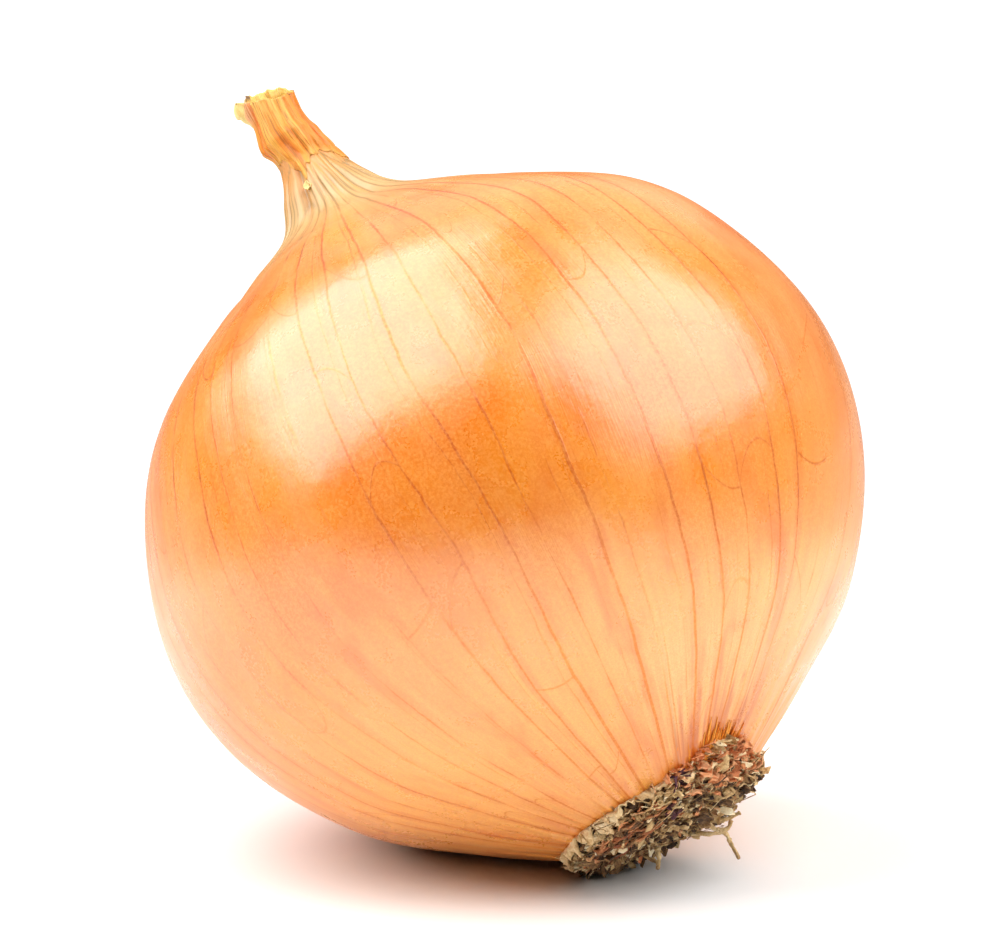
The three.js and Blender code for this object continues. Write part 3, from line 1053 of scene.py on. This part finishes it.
def makeHuskMaterial():
    patches = huskPatches
    material, tree, shader = newMaterial("dry husk", Specular_IOR_Level=0.5)
    place, grain = placeInMm(tree), paintedGrain(tree)
    fold, height, around = [painted(tree, name) for name in ("fold", "height", "around")]
    topEdge = painted(tree, "topEdge")
    broad = useGroup(tree, fibres, Grain=grain, Width=1.1, Length=16.0)
    fine = useGroup(tree, fibres, Grain=grain, Width=0.4, Length=9.0)
    ridge = plus(tree, times(tree, fold, 0.7), times(tree, broad["Streaks"], 0.5), clamp=True)
    colour = mixColour(tree, span(tree, ridge, 0.25, 0.65), huskFinish["deep"], huskFinish["orange"])
    colour = mixColour(tree, span(tree, ridge, 0.55, 0.9), colour, huskFinish["yellow"])
    frontTop = span(tree, height, *patches["frontTopHeight"])
    frontTop = times(tree, frontTop, fade(tree, around, *patches["frontTopEnd"]))
    colour = tint(tree, colour, times(tree, frontTop, ridge), patches["frontTop"], huskFinish["pale"])
    rightSide = window(tree, around, *patches["rightSide"])
    colour = tint(tree, colour, rightSide, patches["right"], huskFinish["deep"])
    flap = times(tree, fade(tree, around, *patches["flapEnd"]), span(tree, height, *patches["flapHeight"]))
    colour = tint(tree, colour, flap, patches["flap"], huskFinish["pink"])
    colour = tint(tree, colour, span(tree, fine["Fine"], 0.62, 0.9), patches["threads"], huskFinish["deep"])
    creased = minus(tree, useGroup(tree, fibres, Grain=grain, Width=0.75, Length=22.0)["Streaks"], 0.5)
    creased = fade(tree, calc(tree, "ABSOLUTE", creased), 0.02, 0.12)
    colour = tint(tree, colour, creased, patches["creases"], huskFinish["line"])
    colour = tint(tree, colour, fade(tree, fold, 0.0, 0.16), patches["valleys"], huskFinish["line"])
    colour = mixColour(tree, painted(tree, "inner"), colour, huskFinish["inside"])
    spots = span(tree, cloud(tree, place, 1.1, 2.0, 0.6), 0.6, 0.7)
    rim = times(tree, fade(tree, topEdge, *patches["rimWidth"]), spots)
    colour = tint(tree, colour, rim, patches["rimSpots"], huskFinish["edge"])
    corner = window(tree, around, *patches["corner"])
    corner = times(tree, corner, fade(tree, topEdge, *patches["cornerWidth"]))
    colour = tint(tree, colour, corner, patches["cornerDark"], huskFinish["edge"])
    hem = plus(tree, painted(tree, "lowEdge"), times(tree, broad["Streaks"], 1.2))
    colour = tint(tree, colour, fade(tree, hem, *patches["hemWidth"]), patches["hem"], huskFinish["hem"])
    feed(tree, shader.inputs["Base Color"], colour)
    feed(tree, shader.inputs["Roughness"], span(tree, broad["Streaks"], 0.0, 1.0, 0.42, 0.6))
    grainy = useGroup(tree, speckle, Place=place, Size=0.3)["Mask"]
    relief = plus(tree, fine["Streaks"], times(tree, grainy, 0.3))
    feed(tree, shader.inputs["Normal"], bump(tree, relief, 0.05, 0.9))
    return material


makeHusk(makeHuskMaterial())


# The pale leaf ends inside the neck's cut top, and the one that curls out on the left.
leafSet = {
    "sheets": ((-65, 120, 93.3, 2.0, 31), (150, 330, 92.8, 1.7, 33), (20, 200, 92.3, 1.2, 35)),
    "from": 88.5,
    "thickness": 0.2,
    "curlPath": (
        (2.75, 2.5, 90.9), (3.2, 2.85, 92.3), (3.5, 3.15, 93.5), (3.75, 3.4, 94.5), (3.95, 3.55, 95.3),
    ),
    "curlWidth": 1.0,
    "curlDegrees": 42,
}


def makeLeafEnds(material):
    pile = newPile()
    rows, columns = 26, 60
    share = np.linspace(0, 1, rows)[:, None]
    for start, stop, top, reach, seed in leafSet["sheets"]:
        angle = np.radians(np.linspace(start, stop, columns))[None]
        upper = top + 0.5 * roundNoise(angle, 0 * angle, 3, 1, seed)
        upper = upper + 0.2 * roundNoise(angle, 0 * angle, 12, 1, seed + 1)
        height = leafSet["from"] + (upper - leafSet["from"]) * share
        waves = roundNoise(angle, height, 2.4, 1 / 5, seed)
        radius = reach + 0.3 * waves + 0.1 * roundNoise(angle, height, 6, 1 / 3, seed + 1)
        wall = lambda reach: roundAxis(reach, angle, height, neckCentre(height))
        points, faces = sheetOf(wall(radius), wall(radius - leafSet["thickness"]))
        tip = np.tile(np.broadcast_to(share, height.shape).reshape(-1), 2)
        addShape(pile, points, faces, tip=tip, grain=np.tile((angle + 0 * height).reshape(-1) * 3, 2))
    return makePiece("neck_leaf_ends", pile, material, ["neck_husk"])


def makeCurl(material):
    rows, columns = 44, 15
    path = throughPoints(leafSet["curlPath"], rows)
    forward = unit(np.gradient(path, axis=0))
    turn = math.radians(leafSet["curlDegrees"])
    sideways = unit(np.cross([-math.sin(turn), math.cos(turn), 0.1], forward))
    up = np.cross(sideways, forward)
    share = np.linspace(0, 1, rows)
    across = np.linspace(-1, 1, columns)
    ragged = 1 + 0.22 * roundNoise(share * 6, share, 1, 9, 41)
    width = leafSet["curlWidth"] * (0.45 + 0.6 * np.sin(math.pi * np.clip(share, 0, 1) ** 1.6)) * ragged
    width = width * np.sqrt(np.clip((1 - share) * 6 + 0.1, 0, 1))
    cup = 0.55 * (across**2)[None] * width[:, None]
    cup = cup + 0.12 * np.cos(across * 7)[None] * np.sin(share * 9)[:, None]
    surface = path[:, None] + sideways[:, None] * (width[:, None] * across[None])[..., None]
    surface = surface + up[:, None] * cup[..., None]
    points, faces = sheetOf(surface, surface - up[:, None] * 0.16)
    tip = np.tile(np.repeat(share, columns), 2)
    pile = newPile()
    addShape(pile, points, faces, tip=tip, grain=np.tile(np.tile(across * 2, rows), 2))
    return makePiece("neck_tip_curled_leaf", pile, material, ["neck_tip_curl"])


leafFinish = {
    "pale": (0.84, 0.68, 0.26),
    "cream": (0.86, 0.76, 0.42),
    "gold": (0.78, 0.52, 0.12),
    "brown": (0.4, 0.25, 0.07),
}


def makeLeafMaterial():
    material, tree, shader = newMaterial("pale leaf", Specular_IOR_Level=0.35)
    place = placeInMm(tree)
    lines = joined(tree, X=painted(tree, "grain"), Z=times(tree, painted(tree, "tip"), 8.0))
    streak = useGroup(tree, fibres, Grain=lines, Width=0.35, Length=8.0)
    patchy = useGroup(tree, mottle, Place=place, Size=2.5)["Mask"]
    colour = mixColour(tree, patchy, leafFinish["pale"], leafFinish["cream"])
    colour = tint(tree, colour, streak["Streaks"], 0.45, leafFinish["gold"])
    dots = span(tree, cloud(tree, place, 1.1, 3.0, 0.6), 0.62, 0.72)
    nearTip = span(tree, painted(tree, "tip"), 0.8, 1.0)
    colour = tint(tree, colour, times(tree, dots, nearTip), 0.4, leafFinish["brown"])
    feed(tree, shader.inputs["Base Color"], colour)
    feed(tree, shader.inputs["Roughness"], span(tree, streak["Fine"], 0.0, 1.0, 0.45, 0.65))
    feed(tree, shader.inputs["Normal"], bump(tree, streak["Streaks"], 0.05, 0.8))
    return material


leafMaterial = makeLeafMaterial()
makeLeafEnds(leafMaterial)
makeCurl(leafMaterial)

# Root plate: a dark dome crowded with torn chips, cut root stubs, ropes and fibres. The dome's dark brown is
# partly its own colour and partly painted shade between the pieces.
plateSet = {
    "seed": 51,
    "columns": 150,
    "domeRows": 40,
    "roughness": 0.45,
    "sink": 1.15,
    "chips": 1500,
    "shortChip": (0.35, 0.85),
    "longChip": (0.85, 1.45),
    "fringe": 190,
    "fringeDegrees": (142, 212),
    "fringeLength": (0.4, 1.35),
    "threads": 90,
    "threadDegrees": (149, 186),
    "threadLength": (0.8, 2.6),
    "threadWidth": (0.09, 0.26),
    "stubs": 210,
    "stubLength": (1.0, 2.1),
    "stubRadius": (0.22, 0.42),
    "fibres": 330,
    "fibreLength": (0.8, 2.6),
    "fibreRadius": (0.05, 0.12),
    "ropes": 34,
    "ropeDegrees": (52, 122),
    "ropeReach": (6.2, 10.6),
    "ropeLength": (1.6, 3.6),
    "ropeRadius": (0.13, 0.24),
    "rimPieces": 13,
    "rimHalfDegrees": (17, 26),
    "rimReach": 11.55,
}


# Closes a grid of rings with a fan at both ends.
def bluntEnd(points, rows, columns):
    ring = np.arange(columns)
    after = (ring + 1) % columns
    last = (rows - 1) * columns
    blank = np.full(columns, -1)
    first = np.stack([after, ring, np.full(columns, rows * columns), blank], -1)
    final = np.stack([last + ring, last + after, np.full(columns, rows * columns + 1), blank], -1)
    ends = np.stack([points[0].mean(0), points[-1].mean(0)])
    body = points.reshape(-1, 3)
    return np.vstack([body, ends]), np.vstack([gridFaces(rows, columns, True), first, final])


def tube(path, radii, sides=7, ridges=0.0, turns=0.0):
    path, radii = np.asarray(path, float), np.asarray(radii, float)
    forward = unit(np.gradient(path, axis=0))
    aside = unit(np.cross(forward, forward[0] + np.array([0.31, 0.93, -0.2])))
    over = np.cross(forward, aside)
    twist = turns * np.linspace(0, 1, len(path))[:, None]
    turn = np.linspace(0, 2 * math.pi, sides, endpoint=False)[None] + twist
    ridge = 1 + ridges * np.cos(3 * (turn - twist) + 1)
    reach = radii[:, None] * ridge
    ring = path[:, None] + (reach * np.cos(turn))[..., None] * aside[:, None]
    ring = ring + (reach * np.sin(turn))[..., None] * over[:, None]
    return bluntEnd(ring, len(path), sides)


# A point on the mat's dome, with the ways out of it, down it and round it.
def onDome(angle, reach, lift=0.0):
    radius, depth = onionSet["plateRadius"], onionSet["plateDepth"]
    height = matHeight(reach)
    point = np.array([reach * math.cos(angle), reach * math.sin(angle), float(height)])
    out = unit(np.array([point[0] / radius**2, point[1] / radius**2, (height + 0.3) / depth**2 - 0.004]))
    around = np.array([-math.sin(angle), math.cos(angle), 0.0])
    down = np.cross(around, out)
    if down[0] * math.cos(angle) + down[1] * math.sin(angle) < 0:
        down = -down
    return point + out * lift, out, down, around


def chipShape(rng, length, width, thickness):
    u, v = np.meshgrid(np.linspace(-1, 1, 6), np.linspace(-1, 1, 4), indexing="ij")
    half = width * (1 - np.abs(u) ** rng.uniform(1.3, 4)) ** 0.6 + 0.12 * width
    ragged = 1 + rng.uniform(-0.28, 0.28, u.shape)
    x = length * u + rng.uniform(-0.16, 0.16, u.shape) * width
    y = half * v * ragged
    z = rng.uniform(-0.35, 0.45) * length * u**2 + rng.uniform(-0.5, 0.7) * width * v**2
    z = z + rng.uniform(-0.12, 0.12, u.shape) * width
    twist = rng.uniform(-0.8, 0.8) * u
    surface = np.stack([x, y * np.cos(twist) - z * np.sin(twist), y * np.sin(twist) + z * np.cos(twist)], -1)
    return sheetOf(surface, surface - np.array([0, 0, thickness]))


# Moves a shape so that its X runs along one way and its Z along another, rolled round the first.
def placed(points, origin, along, normal, roll):
    side = np.cross(normal, along)
    cos, sin = math.cos(roll), math.sin(roll)
    side, normal = side * cos + normal * sin, normal * cos - side * sin
    return origin + points[:, :1] * along + points[:, 1:2] * side + points[:, 2:] * normal


# How red and how pale the mat is at a place on it: rusty where the skin frays, pale beside the torn rim, and
# darkened as painted shade in a few hollows.
def matTint(rng, degrees, reach):
    rusty = bell(degrees, 178, 34) * smoothStep(8.2, 10.8, reach)
    rusty = rusty + 0.45 * bell(degrees, 84, 24) * bell(reach, 8.8, 1.6)
    red = 1.0 if rng.random() < 0.07 + 0.66 * float(rusty) else 0.0
    pale = 0.5 * bell(degrees, 84, 42) * smoothStep(7.5, 10.5, reach) + 0.16 * bell(degrees, 140, 26)
    # Painted shade: pieces in these hollows are darkened.
    hollowShade = bell(degrees, 112, 9) * bell(reach, 9.2, 2.2)
    hollowShade = hollowShade + 0.8 * bell(degrees, 163, 7) * bell(reach, 8.6, 1.6)
    hollowShade = hollowShade + 0.8 * bell(degrees, 208, 16) * bell(reach, 6, 2)
    tone = 0.1 + 0.5 * rng.random() ** 1.2 + float(pale) * rng.random()
    if rng.random() < 0.26:
        tone += 0.42
    tone = tone * (1 - 0.85 * min(float(hollowShade), 1))
    if red:
        tone = 0.35 + 0.65 * rng.random()
    return min(tone, 1), red


def makeDome(material):
    columns, rows = plateSet["columns"], plateSet["domeRows"]
    share = np.linspace(0, 1, rows)
    reach = np.concatenate([[3, 10.5, 10.6], onionSet["plateRadius"] * np.cos(share * math.pi / 2 * 0.995)])
    height = np.concatenate([[1.1, 0.9, -0.2], matHeight(reach[3:])])
    angle = np.linspace(0, 2 * math.pi, columns, endpoint=False)
    flat = roundAxis(reach[:, None], angle, height[:, None])
    rough = softNoise(flat / 1.1 + 40, 52) + 0.6 * softNoise(flat / 0.5 + 40, 53)
    rough = rough * plateSet["roughness"] * (np.arange(rows + 3) > 3)[:, None]
    plateSize = np.array([onionSet["plateRadius"], onionSet["plateRadius"], onionSet["plateDepth"]])
    out = unit(flat / plateSize**2)
    points, faces = bluntEnd(flat + out * rough[..., None] - out * plateSet["sink"], len(reach), columns)
    pile = newPile()
    # Dark brown: partly the mat's own colour, partly painted shade in the gaps between the chips.
    addShape(pile, points, faces, tone=0.16, red=0.0)
    return makePiece("root_mat_base", pile, material, ["root_plate"])


def makeChips(material):
    rng = np.random.default_rng(plateSet["seed"])
    pile = newPile()
    for index in range(plateSet["chips"]):
        share = (index + 0.5) / plateSet["chips"]
        reach = onionSet["plateRadius"] * math.sqrt(share)
        angle = (index * golden + rng.uniform(-0.1, 0.1)) % (2 * math.pi)
        degrees = math.degrees(angle)
        tone, red = matTint(rng, degrees, reach)
        if reach > 10.9 and bell(degrees, 80, 50) > 0.3:
            continue
        origin, out, down, around = onDome(angle, reach, rng.uniform(-1.25, -0.35))
        swing = rng.normal(0, 0.9)
        flat = down * math.cos(swing) + around * math.sin(swing)
        pitch = abs(rng.normal(0.25, 0.4))
        along = flat * math.cos(pitch) + out * math.sin(pitch)
        normal = out * math.cos(pitch) - flat * math.sin(pitch)
        length = rng.uniform(*plateSet["shortChip" if rng.random() < 0.7 else "longChip"])
        width = length * rng.uniform(0.25, 0.65)
        plum = float(bell(degrees, 142 + 1.8 * (reach - 7.6), 3.4) * smoothStep(6.2, 7.2, reach))
        plum = 1.0 if rng.random() < 1.3 * plum else 0.0
        points, faces = chipShape(rng, length, width, rng.uniform(0.07, 0.16))
        points = placed(points, origin + along * length * 0.45, along, normal, rng.normal(0, 0.5))
        addShape(pile, points, faces, tone=tone, red=red, plum=plum)
    return makePiece("root_mat_chips", pile, material, ["root_plate"], smooth=False)


def makeRustyFringe(material):
    rng = np.random.default_rng(plateSet["seed"] + 1)
    pile = newPile()
    for _ in range(plateSet["fringe"]):
        degrees = rng.uniform(*plateSet["fringeDegrees"])
        angle = math.radians(degrees)
        climb = rng.random() ** 1.6 * 1.9 * float(bell(degrees, 172, 30))
        radius = np.interp(climb, outline[:200, 1], outline[:200, 0]) + rng.uniform(-0.2, 0.3)
        origin = np.array([radius * math.cos(angle), radius * math.sin(angle), climb - 0.2])
        outward = unit(np.array([math.cos(angle) * 0.45, math.sin(angle) * 0.45, -0.9]))
        around = np.array([-math.sin(angle), math.cos(angle), 0])
        # One draw is passed over, so that the ones after it stay as they are.
        rng.random()
        swing = rng.normal(0, 0.75)
        along = outward * math.cos(swing) + around * math.sin(swing)
        lift = rng.uniform(-0.2, 0.9)
        away = np.array([math.cos(angle), math.sin(angle), 0.3])
        along = unit(along * math.cos(lift) + away * math.sin(lift))
        normal = np.cross(along, around)
        normal = normal / max(np.linalg.norm(normal), 0.2)
        length = rng.uniform(*plateSet["fringeLength"])
        points, faces = chipShape(rng, length, length * rng.uniform(0.16, 0.42), rng.uniform(0.06, 0.12))
        points = placed(points, origin, along, normal, rng.normal(0, 0.7))
        red = 1.0 if rng.random() < 0.68 else 0.0
        addShape(pile, points, faces, tone=rng.uniform(0.4, 1) if red else rng.uniform(0.3, 0.95), red=red)
    return makePiece("rusty_fringe", pile, material, ["root_plate"], smooth=False)


# Thin orange threads of torn skin that lie on the bulb above the fringe.
def makeThreads(material):
    rng = np.random.default_rng(plateSet["seed"] + 5)
    pile = newPile()
    rows = 7
    share = np.linspace(0, 1, rows)[:, None]
    for index in range(plateSet["threads"]):
        start = math.radians(rng.uniform(*plateSet["threadDegrees"]))
        low = rng.uniform(-0.1, 1.3)
        nearMiddle = float(bell(math.degrees(start), 164, 14))
        length = rng.uniform(*plateSet["threadLength"]) * (0.45 + 0.55 * nearMiddle)
        width = rng.uniform(*plateSet["threadWidth"]) * (1 - share) ** 0.7 + 0.012
        height = low + length * share + 0 * width
        side = np.linspace(-1, 1, 3)[None]
        radius = np.interp(height, outline[:200, 1], outline[:200, 0])
        lean = rng.normal(0, 0.35) * share * length * 0.2 + 0.05 * np.sin(share * 5 + index)
        angle = start + (width * side + lean) / radius
        top = radius + 0.1 + 0.05 * (1 - side**2) + 0.25 * rng.random() ** 3 * share
        shape = lambda reach: roundAxis(reach, angle, height)
        points, faces = sheetOf(shape(top), shape(top - 0.14))
        addShape(pile, points, faces, tone=rng.random(), red=0.0, thread=1.0)
    return makePiece("skin_threads", pile, material, ["bulb"])


def makeStubs(material):
    rng = np.random.default_rng(plateSet["seed"] + 2)
    pile = newPile()
    rings, sides = 6, 8
    for index in range(plateSet["stubs"]):
        reach = 11.6 * math.sqrt((index + 0.5) / plateSet["stubs"])
        angle = index * golden + 0.4
        origin, out, down, around = onDome(angle, reach, -1.5)
        lean = unit(out + down * rng.uniform(0.0, 1.0) + around * rng.normal(0, 0.45))
        bend = down * rng.normal(0.2, 0.4) + around * rng.normal(0, 0.4)
        length, thick = rng.uniform(*plateSet["stubLength"]), rng.uniform(*plateSet["stubRadius"])
        share = np.linspace(0, 1, rings)[:, None]
        path = origin + lean * length * share + bend * share**2 * 0.7
        radii = thick * np.linspace(1.25, 0.8, rings) * rng.uniform(0.85, 1.15, rings)
        radii = np.append(radii, [radii[-1] * 0.62, radii[-1] * 0.45])
        path = np.vstack([path, path[-1] + lean * 0.1, path[-1] + lean * 0.2])
        points, faces = tube(path, radii, sides, 0.16, rng.uniform(-1, 1))
        # The last two rings go back inside, so that the cut end is hollow.
        inner, deepest = points[: len(path) * sides].reshape(-1, sides, 3)[-2:]
        inner -= lean * 0.12
        deepest -= lean * 0.6
        points[-1] = deepest.mean(0)
        tone, red = matTint(rng, math.degrees(angle) % 360, reach)
        addShape(pile, points, faces, tone=np.clip(tone * 0.9, 0.12, 0.6), red=red * 0.5)
    return makePiece("root_stubs", pile, material, ["root_plate"])


def makeFibres(material):
    rng = np.random.default_rng(plateSet["seed"] + 3)
    pile = newPile()
    for index in range(plateSet["fibres"]):
        reach = 12.2 * math.sqrt(rng.random())
        angle = rng.uniform(0, 2 * math.pi)
        origin, out, down, around = onDome(angle, reach, rng.uniform(-0.8, -0.1))
        swing = rng.normal(0, 0.8)
        along = down * math.cos(swing) + around * math.sin(swing) + out * rng.uniform(-0.1, 0.45)
        bend = out * rng.normal(-0.25, 0.35) + around * rng.normal(0, 0.6) + down * rng.normal(0, 0.4)
        length = rng.uniform(*plateSet["fibreLength"])
        share = np.linspace(-0.3, 1, 8)[:, None]
        path = origin + along * length * share + bend * length * 0.45 * share**2
        path = path + rng.normal(0, 0.05, path.shape)
        radii = rng.uniform(*plateSet["fibreRadius"]) * np.linspace(1.1, 0.55, 8)
        points, faces = tube(path, radii, 6, 0.1)
        tone, red = matTint(rng, math.degrees(angle), reach)
        addShape(pile, points, faces, tone=np.clip(tone, 0.2, 0.75), red=red * 0.7)
    for index in range(plateSet["ropes"]):
        angle = math.radians(rng.uniform(*plateSet["ropeDegrees"]))
        reach = rng.uniform(*plateSet["ropeReach"])
        origin, out, down, around = onDome(angle, reach, rng.uniform(-0.35, 0.0))
        length = rng.uniform(*plateSet["ropeLength"])
        share = np.linspace(-1, 1, 14)[:, None]
        path = origin + around * length * share - out * 0.12 * (length * share) ** 2 * 0.35
        path = path + down * rng.normal(0, 0.5) * share
        path = path + 0.22 * np.sin(share * rng.uniform(3, 6) + index) * out
        path = path + 0.2 * np.cos(share * 5 + index) * down
        radii = rng.uniform(*plateSet["ropeRadius"]) * (1 - 0.6 * np.abs(share[:, 0]) ** 3)
        points, faces = tube(path, radii, 8, 0.22, 5)
        red = rng.random() < 0.6
        addShape(pile, points, faces, tone=rng.uniform(0.2, 0.5), red=0.75 if red else 0.1)
    return makePiece("root_fibres", pile, material, ["root_plate"])


# The torn cream rim where the skin ends over the mat, in overlapping pieces, widest on the side it rests on.
def makeTornRim(material):
    rng = np.random.default_rng(plateSet["seed"] + 4)
    pile = newPile()
    rows, columns = 12, 70
    for index in range(plateSet["rimPieces"]):
        middle = 360 * (index + rng.uniform(-0.2, 0.2)) / plateSet["rimPieces"] + 12
        half = rng.uniform(*plateSet["rimHalfDegrees"])
        degrees = np.linspace(middle - half, middle + half, columns)[:, None]
        angle = np.radians(degrees)
        near = float(bell(middle, 80, 55))
        torn = 1 + 0.7 * roundNoise(angle, 0 * angle, 11, 1, 60 + index)
        torn = torn + 0.6 * roundNoise(angle, 0 * angle, 30, 1, 80 + index)
        narrowing = 1 - 0.6 * np.abs(np.linspace(-1, 1, columns)[:, None]) ** 3
        drop = (0.6 + 1.0 * near) * narrowing * np.clip(torn, 0.2, 2)
        share = np.linspace(0, 1, rows)[None]
        reach = plateSet["rimReach"] + 0.1 * (index % 3)
        reach = reach + 0.5 * np.sin(np.minimum(share * 2, 1) * math.pi / 2) - 0.35 * share**2
        reach = reach + (0.14 + 0.35 * share) * roundNoise(angle, share * 3, 14, 1, 90 + index)
        reach = reach + 0.12 * roundNoise(angle, share * 4, 34, 1, 95 + index)
        height = 0.35 - drop * share
        away, top = roundAxis(1, angle, -0.3 * share), roundAxis(reach, angle, height)
        points, faces = sheetOf(top, top - away * 0.12)
        tone = np.tile(np.broadcast_to(0.95 - 0.25 * share + 0.0 * angle, reach.shape).reshape(-1), 2)
        tone = np.clip(tone + rng.uniform(-0.08, 0.08), 0, 1)
        addShape(pile, points, faces, tone=tone, red=0.12 * (1 - near))
    return makePiece("torn_skin_rim", pile, material, ["bulb"])


matFinish = {
    "ramp": (
        (0.0, (0.016, 0.009, 0.006)),
        (0.14, (0.07, 0.036, 0.018)),
        (0.3, (0.22, 0.115, 0.048)),
        (0.46, (0.46, 0.28, 0.12)),
        (0.62, (0.7, 0.48, 0.22)),
        (0.8, (0.88, 0.68, 0.38)),
        (1.0, (0.97, 0.87, 0.62)),
    ),
    "redRamp": (
        (0.0, (0.14, 0.035, 0.018)), (0.35, (0.46, 0.14, 0.05)),
        (0.7, (0.78, 0.32, 0.13)), (1.0, (0.9, 0.5, 0.26)),
    ),
    "plum": (0.1, 0.036, 0.046),
    "thread": ((0.0, (0.62, 0.13, 0.002)), (0.5, (0.82, 0.27, 0.02)), (1.0, (0.9, 0.42, 0.08))),
}


def colourRamp(tree, value, stops):
    made = addNode(tree, "ShaderNodeValToRGB")
    feed(tree, made.inputs[0], value)
    elements = made.color_ramp.elements
    while len(elements) < len(stops):
        elements.new(0.5)
    for element, (position, colour) in zip(elements, stops):
        element.position = position
        element.color = (*colour, 1)
    return made.outputs[0]


def makeMatMaterial():
    material, tree, shader = newMaterial("woody root mat", Specular_IOR_Level=0.3)
    place = placeInMm(tree)
    grainy = cloud(tree, place, 1.6, 4.0, 0.65, 0.6)
    fine = cloud(tree, place, 5.5, 3.0, 0.6)
    tone = plus(tree, painted(tree, "tone"), times(tree, minus(tree, grainy, 0.5), 0.7))
    tone = plus(tree, tone, times(tree, minus(tree, fine, 0.5), 0.3), clamp=True)
    brown = colourRamp(tree, tone, matFinish["ramp"])
    rusty = colourRamp(tree, tone, matFinish["redRamp"])
    colour = mixColour(tree, painted(tree, "red"), brown, rusty)
    colour = mixColour(tree, painted(tree, "plum"), colour, matFinish["plum"])
    colour = mixColour(tree, painted(tree, "thread"), colour, colourRamp(tree, tone, matFinish["thread"]))
    feed(tree, shader.inputs["Base Color"], colour)
    feed(tree, shader.inputs["Roughness"], span(tree, fine, 0.3, 0.7, 0.55, 0.85))
    relief = plus(tree, fine, times(tree, grainy, 1.5))
    feed(tree, shader.inputs["Normal"], bump(tree, relief, 0.12, 0.8))
    return material


# A small white fold of skin under the husk's torn tip.
foldSet = {
    "seed": 34,
    "height": 80.9,
    "degrees": 113,
    "length": 0.62,
    "width": 0.42,
    "thickness": 0.05,
    "roll": 0.3,
}


def makeWhiteFold(material):
    height, angle = np.array(foldSet["height"]), np.radians(foldSet["degrees"])
    out = unit(roundAxis(1, angle, 0.45))
    along = np.cross(out, roundAxis(1, angle + math.pi / 2, 0))
    rng = np.random.default_rng(foldSet["seed"])
    points, faces = chipShape(rng, foldSet["length"], foldSet["width"], foldSet["thickness"])
    origin = roundAxis(neckRadius(angle, height) + 0.08, angle, height, neckCentre(height))
    pile = newPile()
    addShape(pile, placed(points, origin, along, out, foldSet["roll"]), faces, tip=0.1, grain=0.0)
    makePiece("neck_white_fold", pile, material, ["neck_husk"])


makeWhiteFold(leafMaterial)
matMaterial = makeMatMaterial()
makeDome(matMaterial)
makeChips(matMaterial)
makeRustyFringe(matMaterial)
makeThreads(matMaterial)
makeStubs(matMaterial)
makeFibres(matMaterial)
makeTornRim(matMaterial)


# The loose dry roots, through the same points as the CAD strands.
looseRoots = {
    "root_bent": (
        (2.3, -4.7, -2.9), (0.7, -5.8, -4), (-0.6, -6.8, -4.8), (-0.6, -6.9, -6.1), (-0.5, -7, -8.1),
    ),
    "root_upturned": ((-0.1, -6.1, -2.8), (-0.7, -6.8, -3.4), (-1.5, -7.6, -3.6), (-2.6, -8.5, -3.6)),
    "root_forked": ((-0.3, -5.2, -3), (-0.7, -6, -4.3), (-1.5, -6.6, -4.6), (-2.2, -7, -4.1)),
    "root_short": ((3.7, -0.8, -2.9), (4.1, -0.4, -4.3), (4.5, 0.1, -5.2)),
}
rootSet = {"radius": 0.24, "rings": 60, "sides": 14, "wrinkle": 0.24}


def makeLooseRoots(material):
    for number, (name, points) in enumerate(looseRoots.items()):
        path = throughPoints(points, rootSet["rings"])
        share = np.linspace(0, 1, rootSet["rings"])
        along = lambda scale, row: np.stack([share * scale, share * 0 + row, share * 0 + number], -1)
        path = path + 0.05 * np.stack([softNoise(along(9, axis), 71) for axis in range(3)], -1)
        swell = 1 + rootSet["wrinkle"] * softNoise(along(22, 0), 72)
        radii = rootSet["radius"] * swell * (1.15 - 0.25 * share)
        radii[-3:] *= np.array([0.95, 0.8, 0.55])
        shape, faces = tube(path, radii, rootSet["sides"], 0.17, 5.5)
        pile = newPile()
        tone = np.append(np.repeat(0.72 - 0.3 * share**3, rootSet["sides"]), [0.6, 0.3])
        addShape(pile, shape, faces, tone=tone, red=0.0)
        makePiece(name + "_strand", pile, material, [name])


makeLooseRoots(matMaterial)
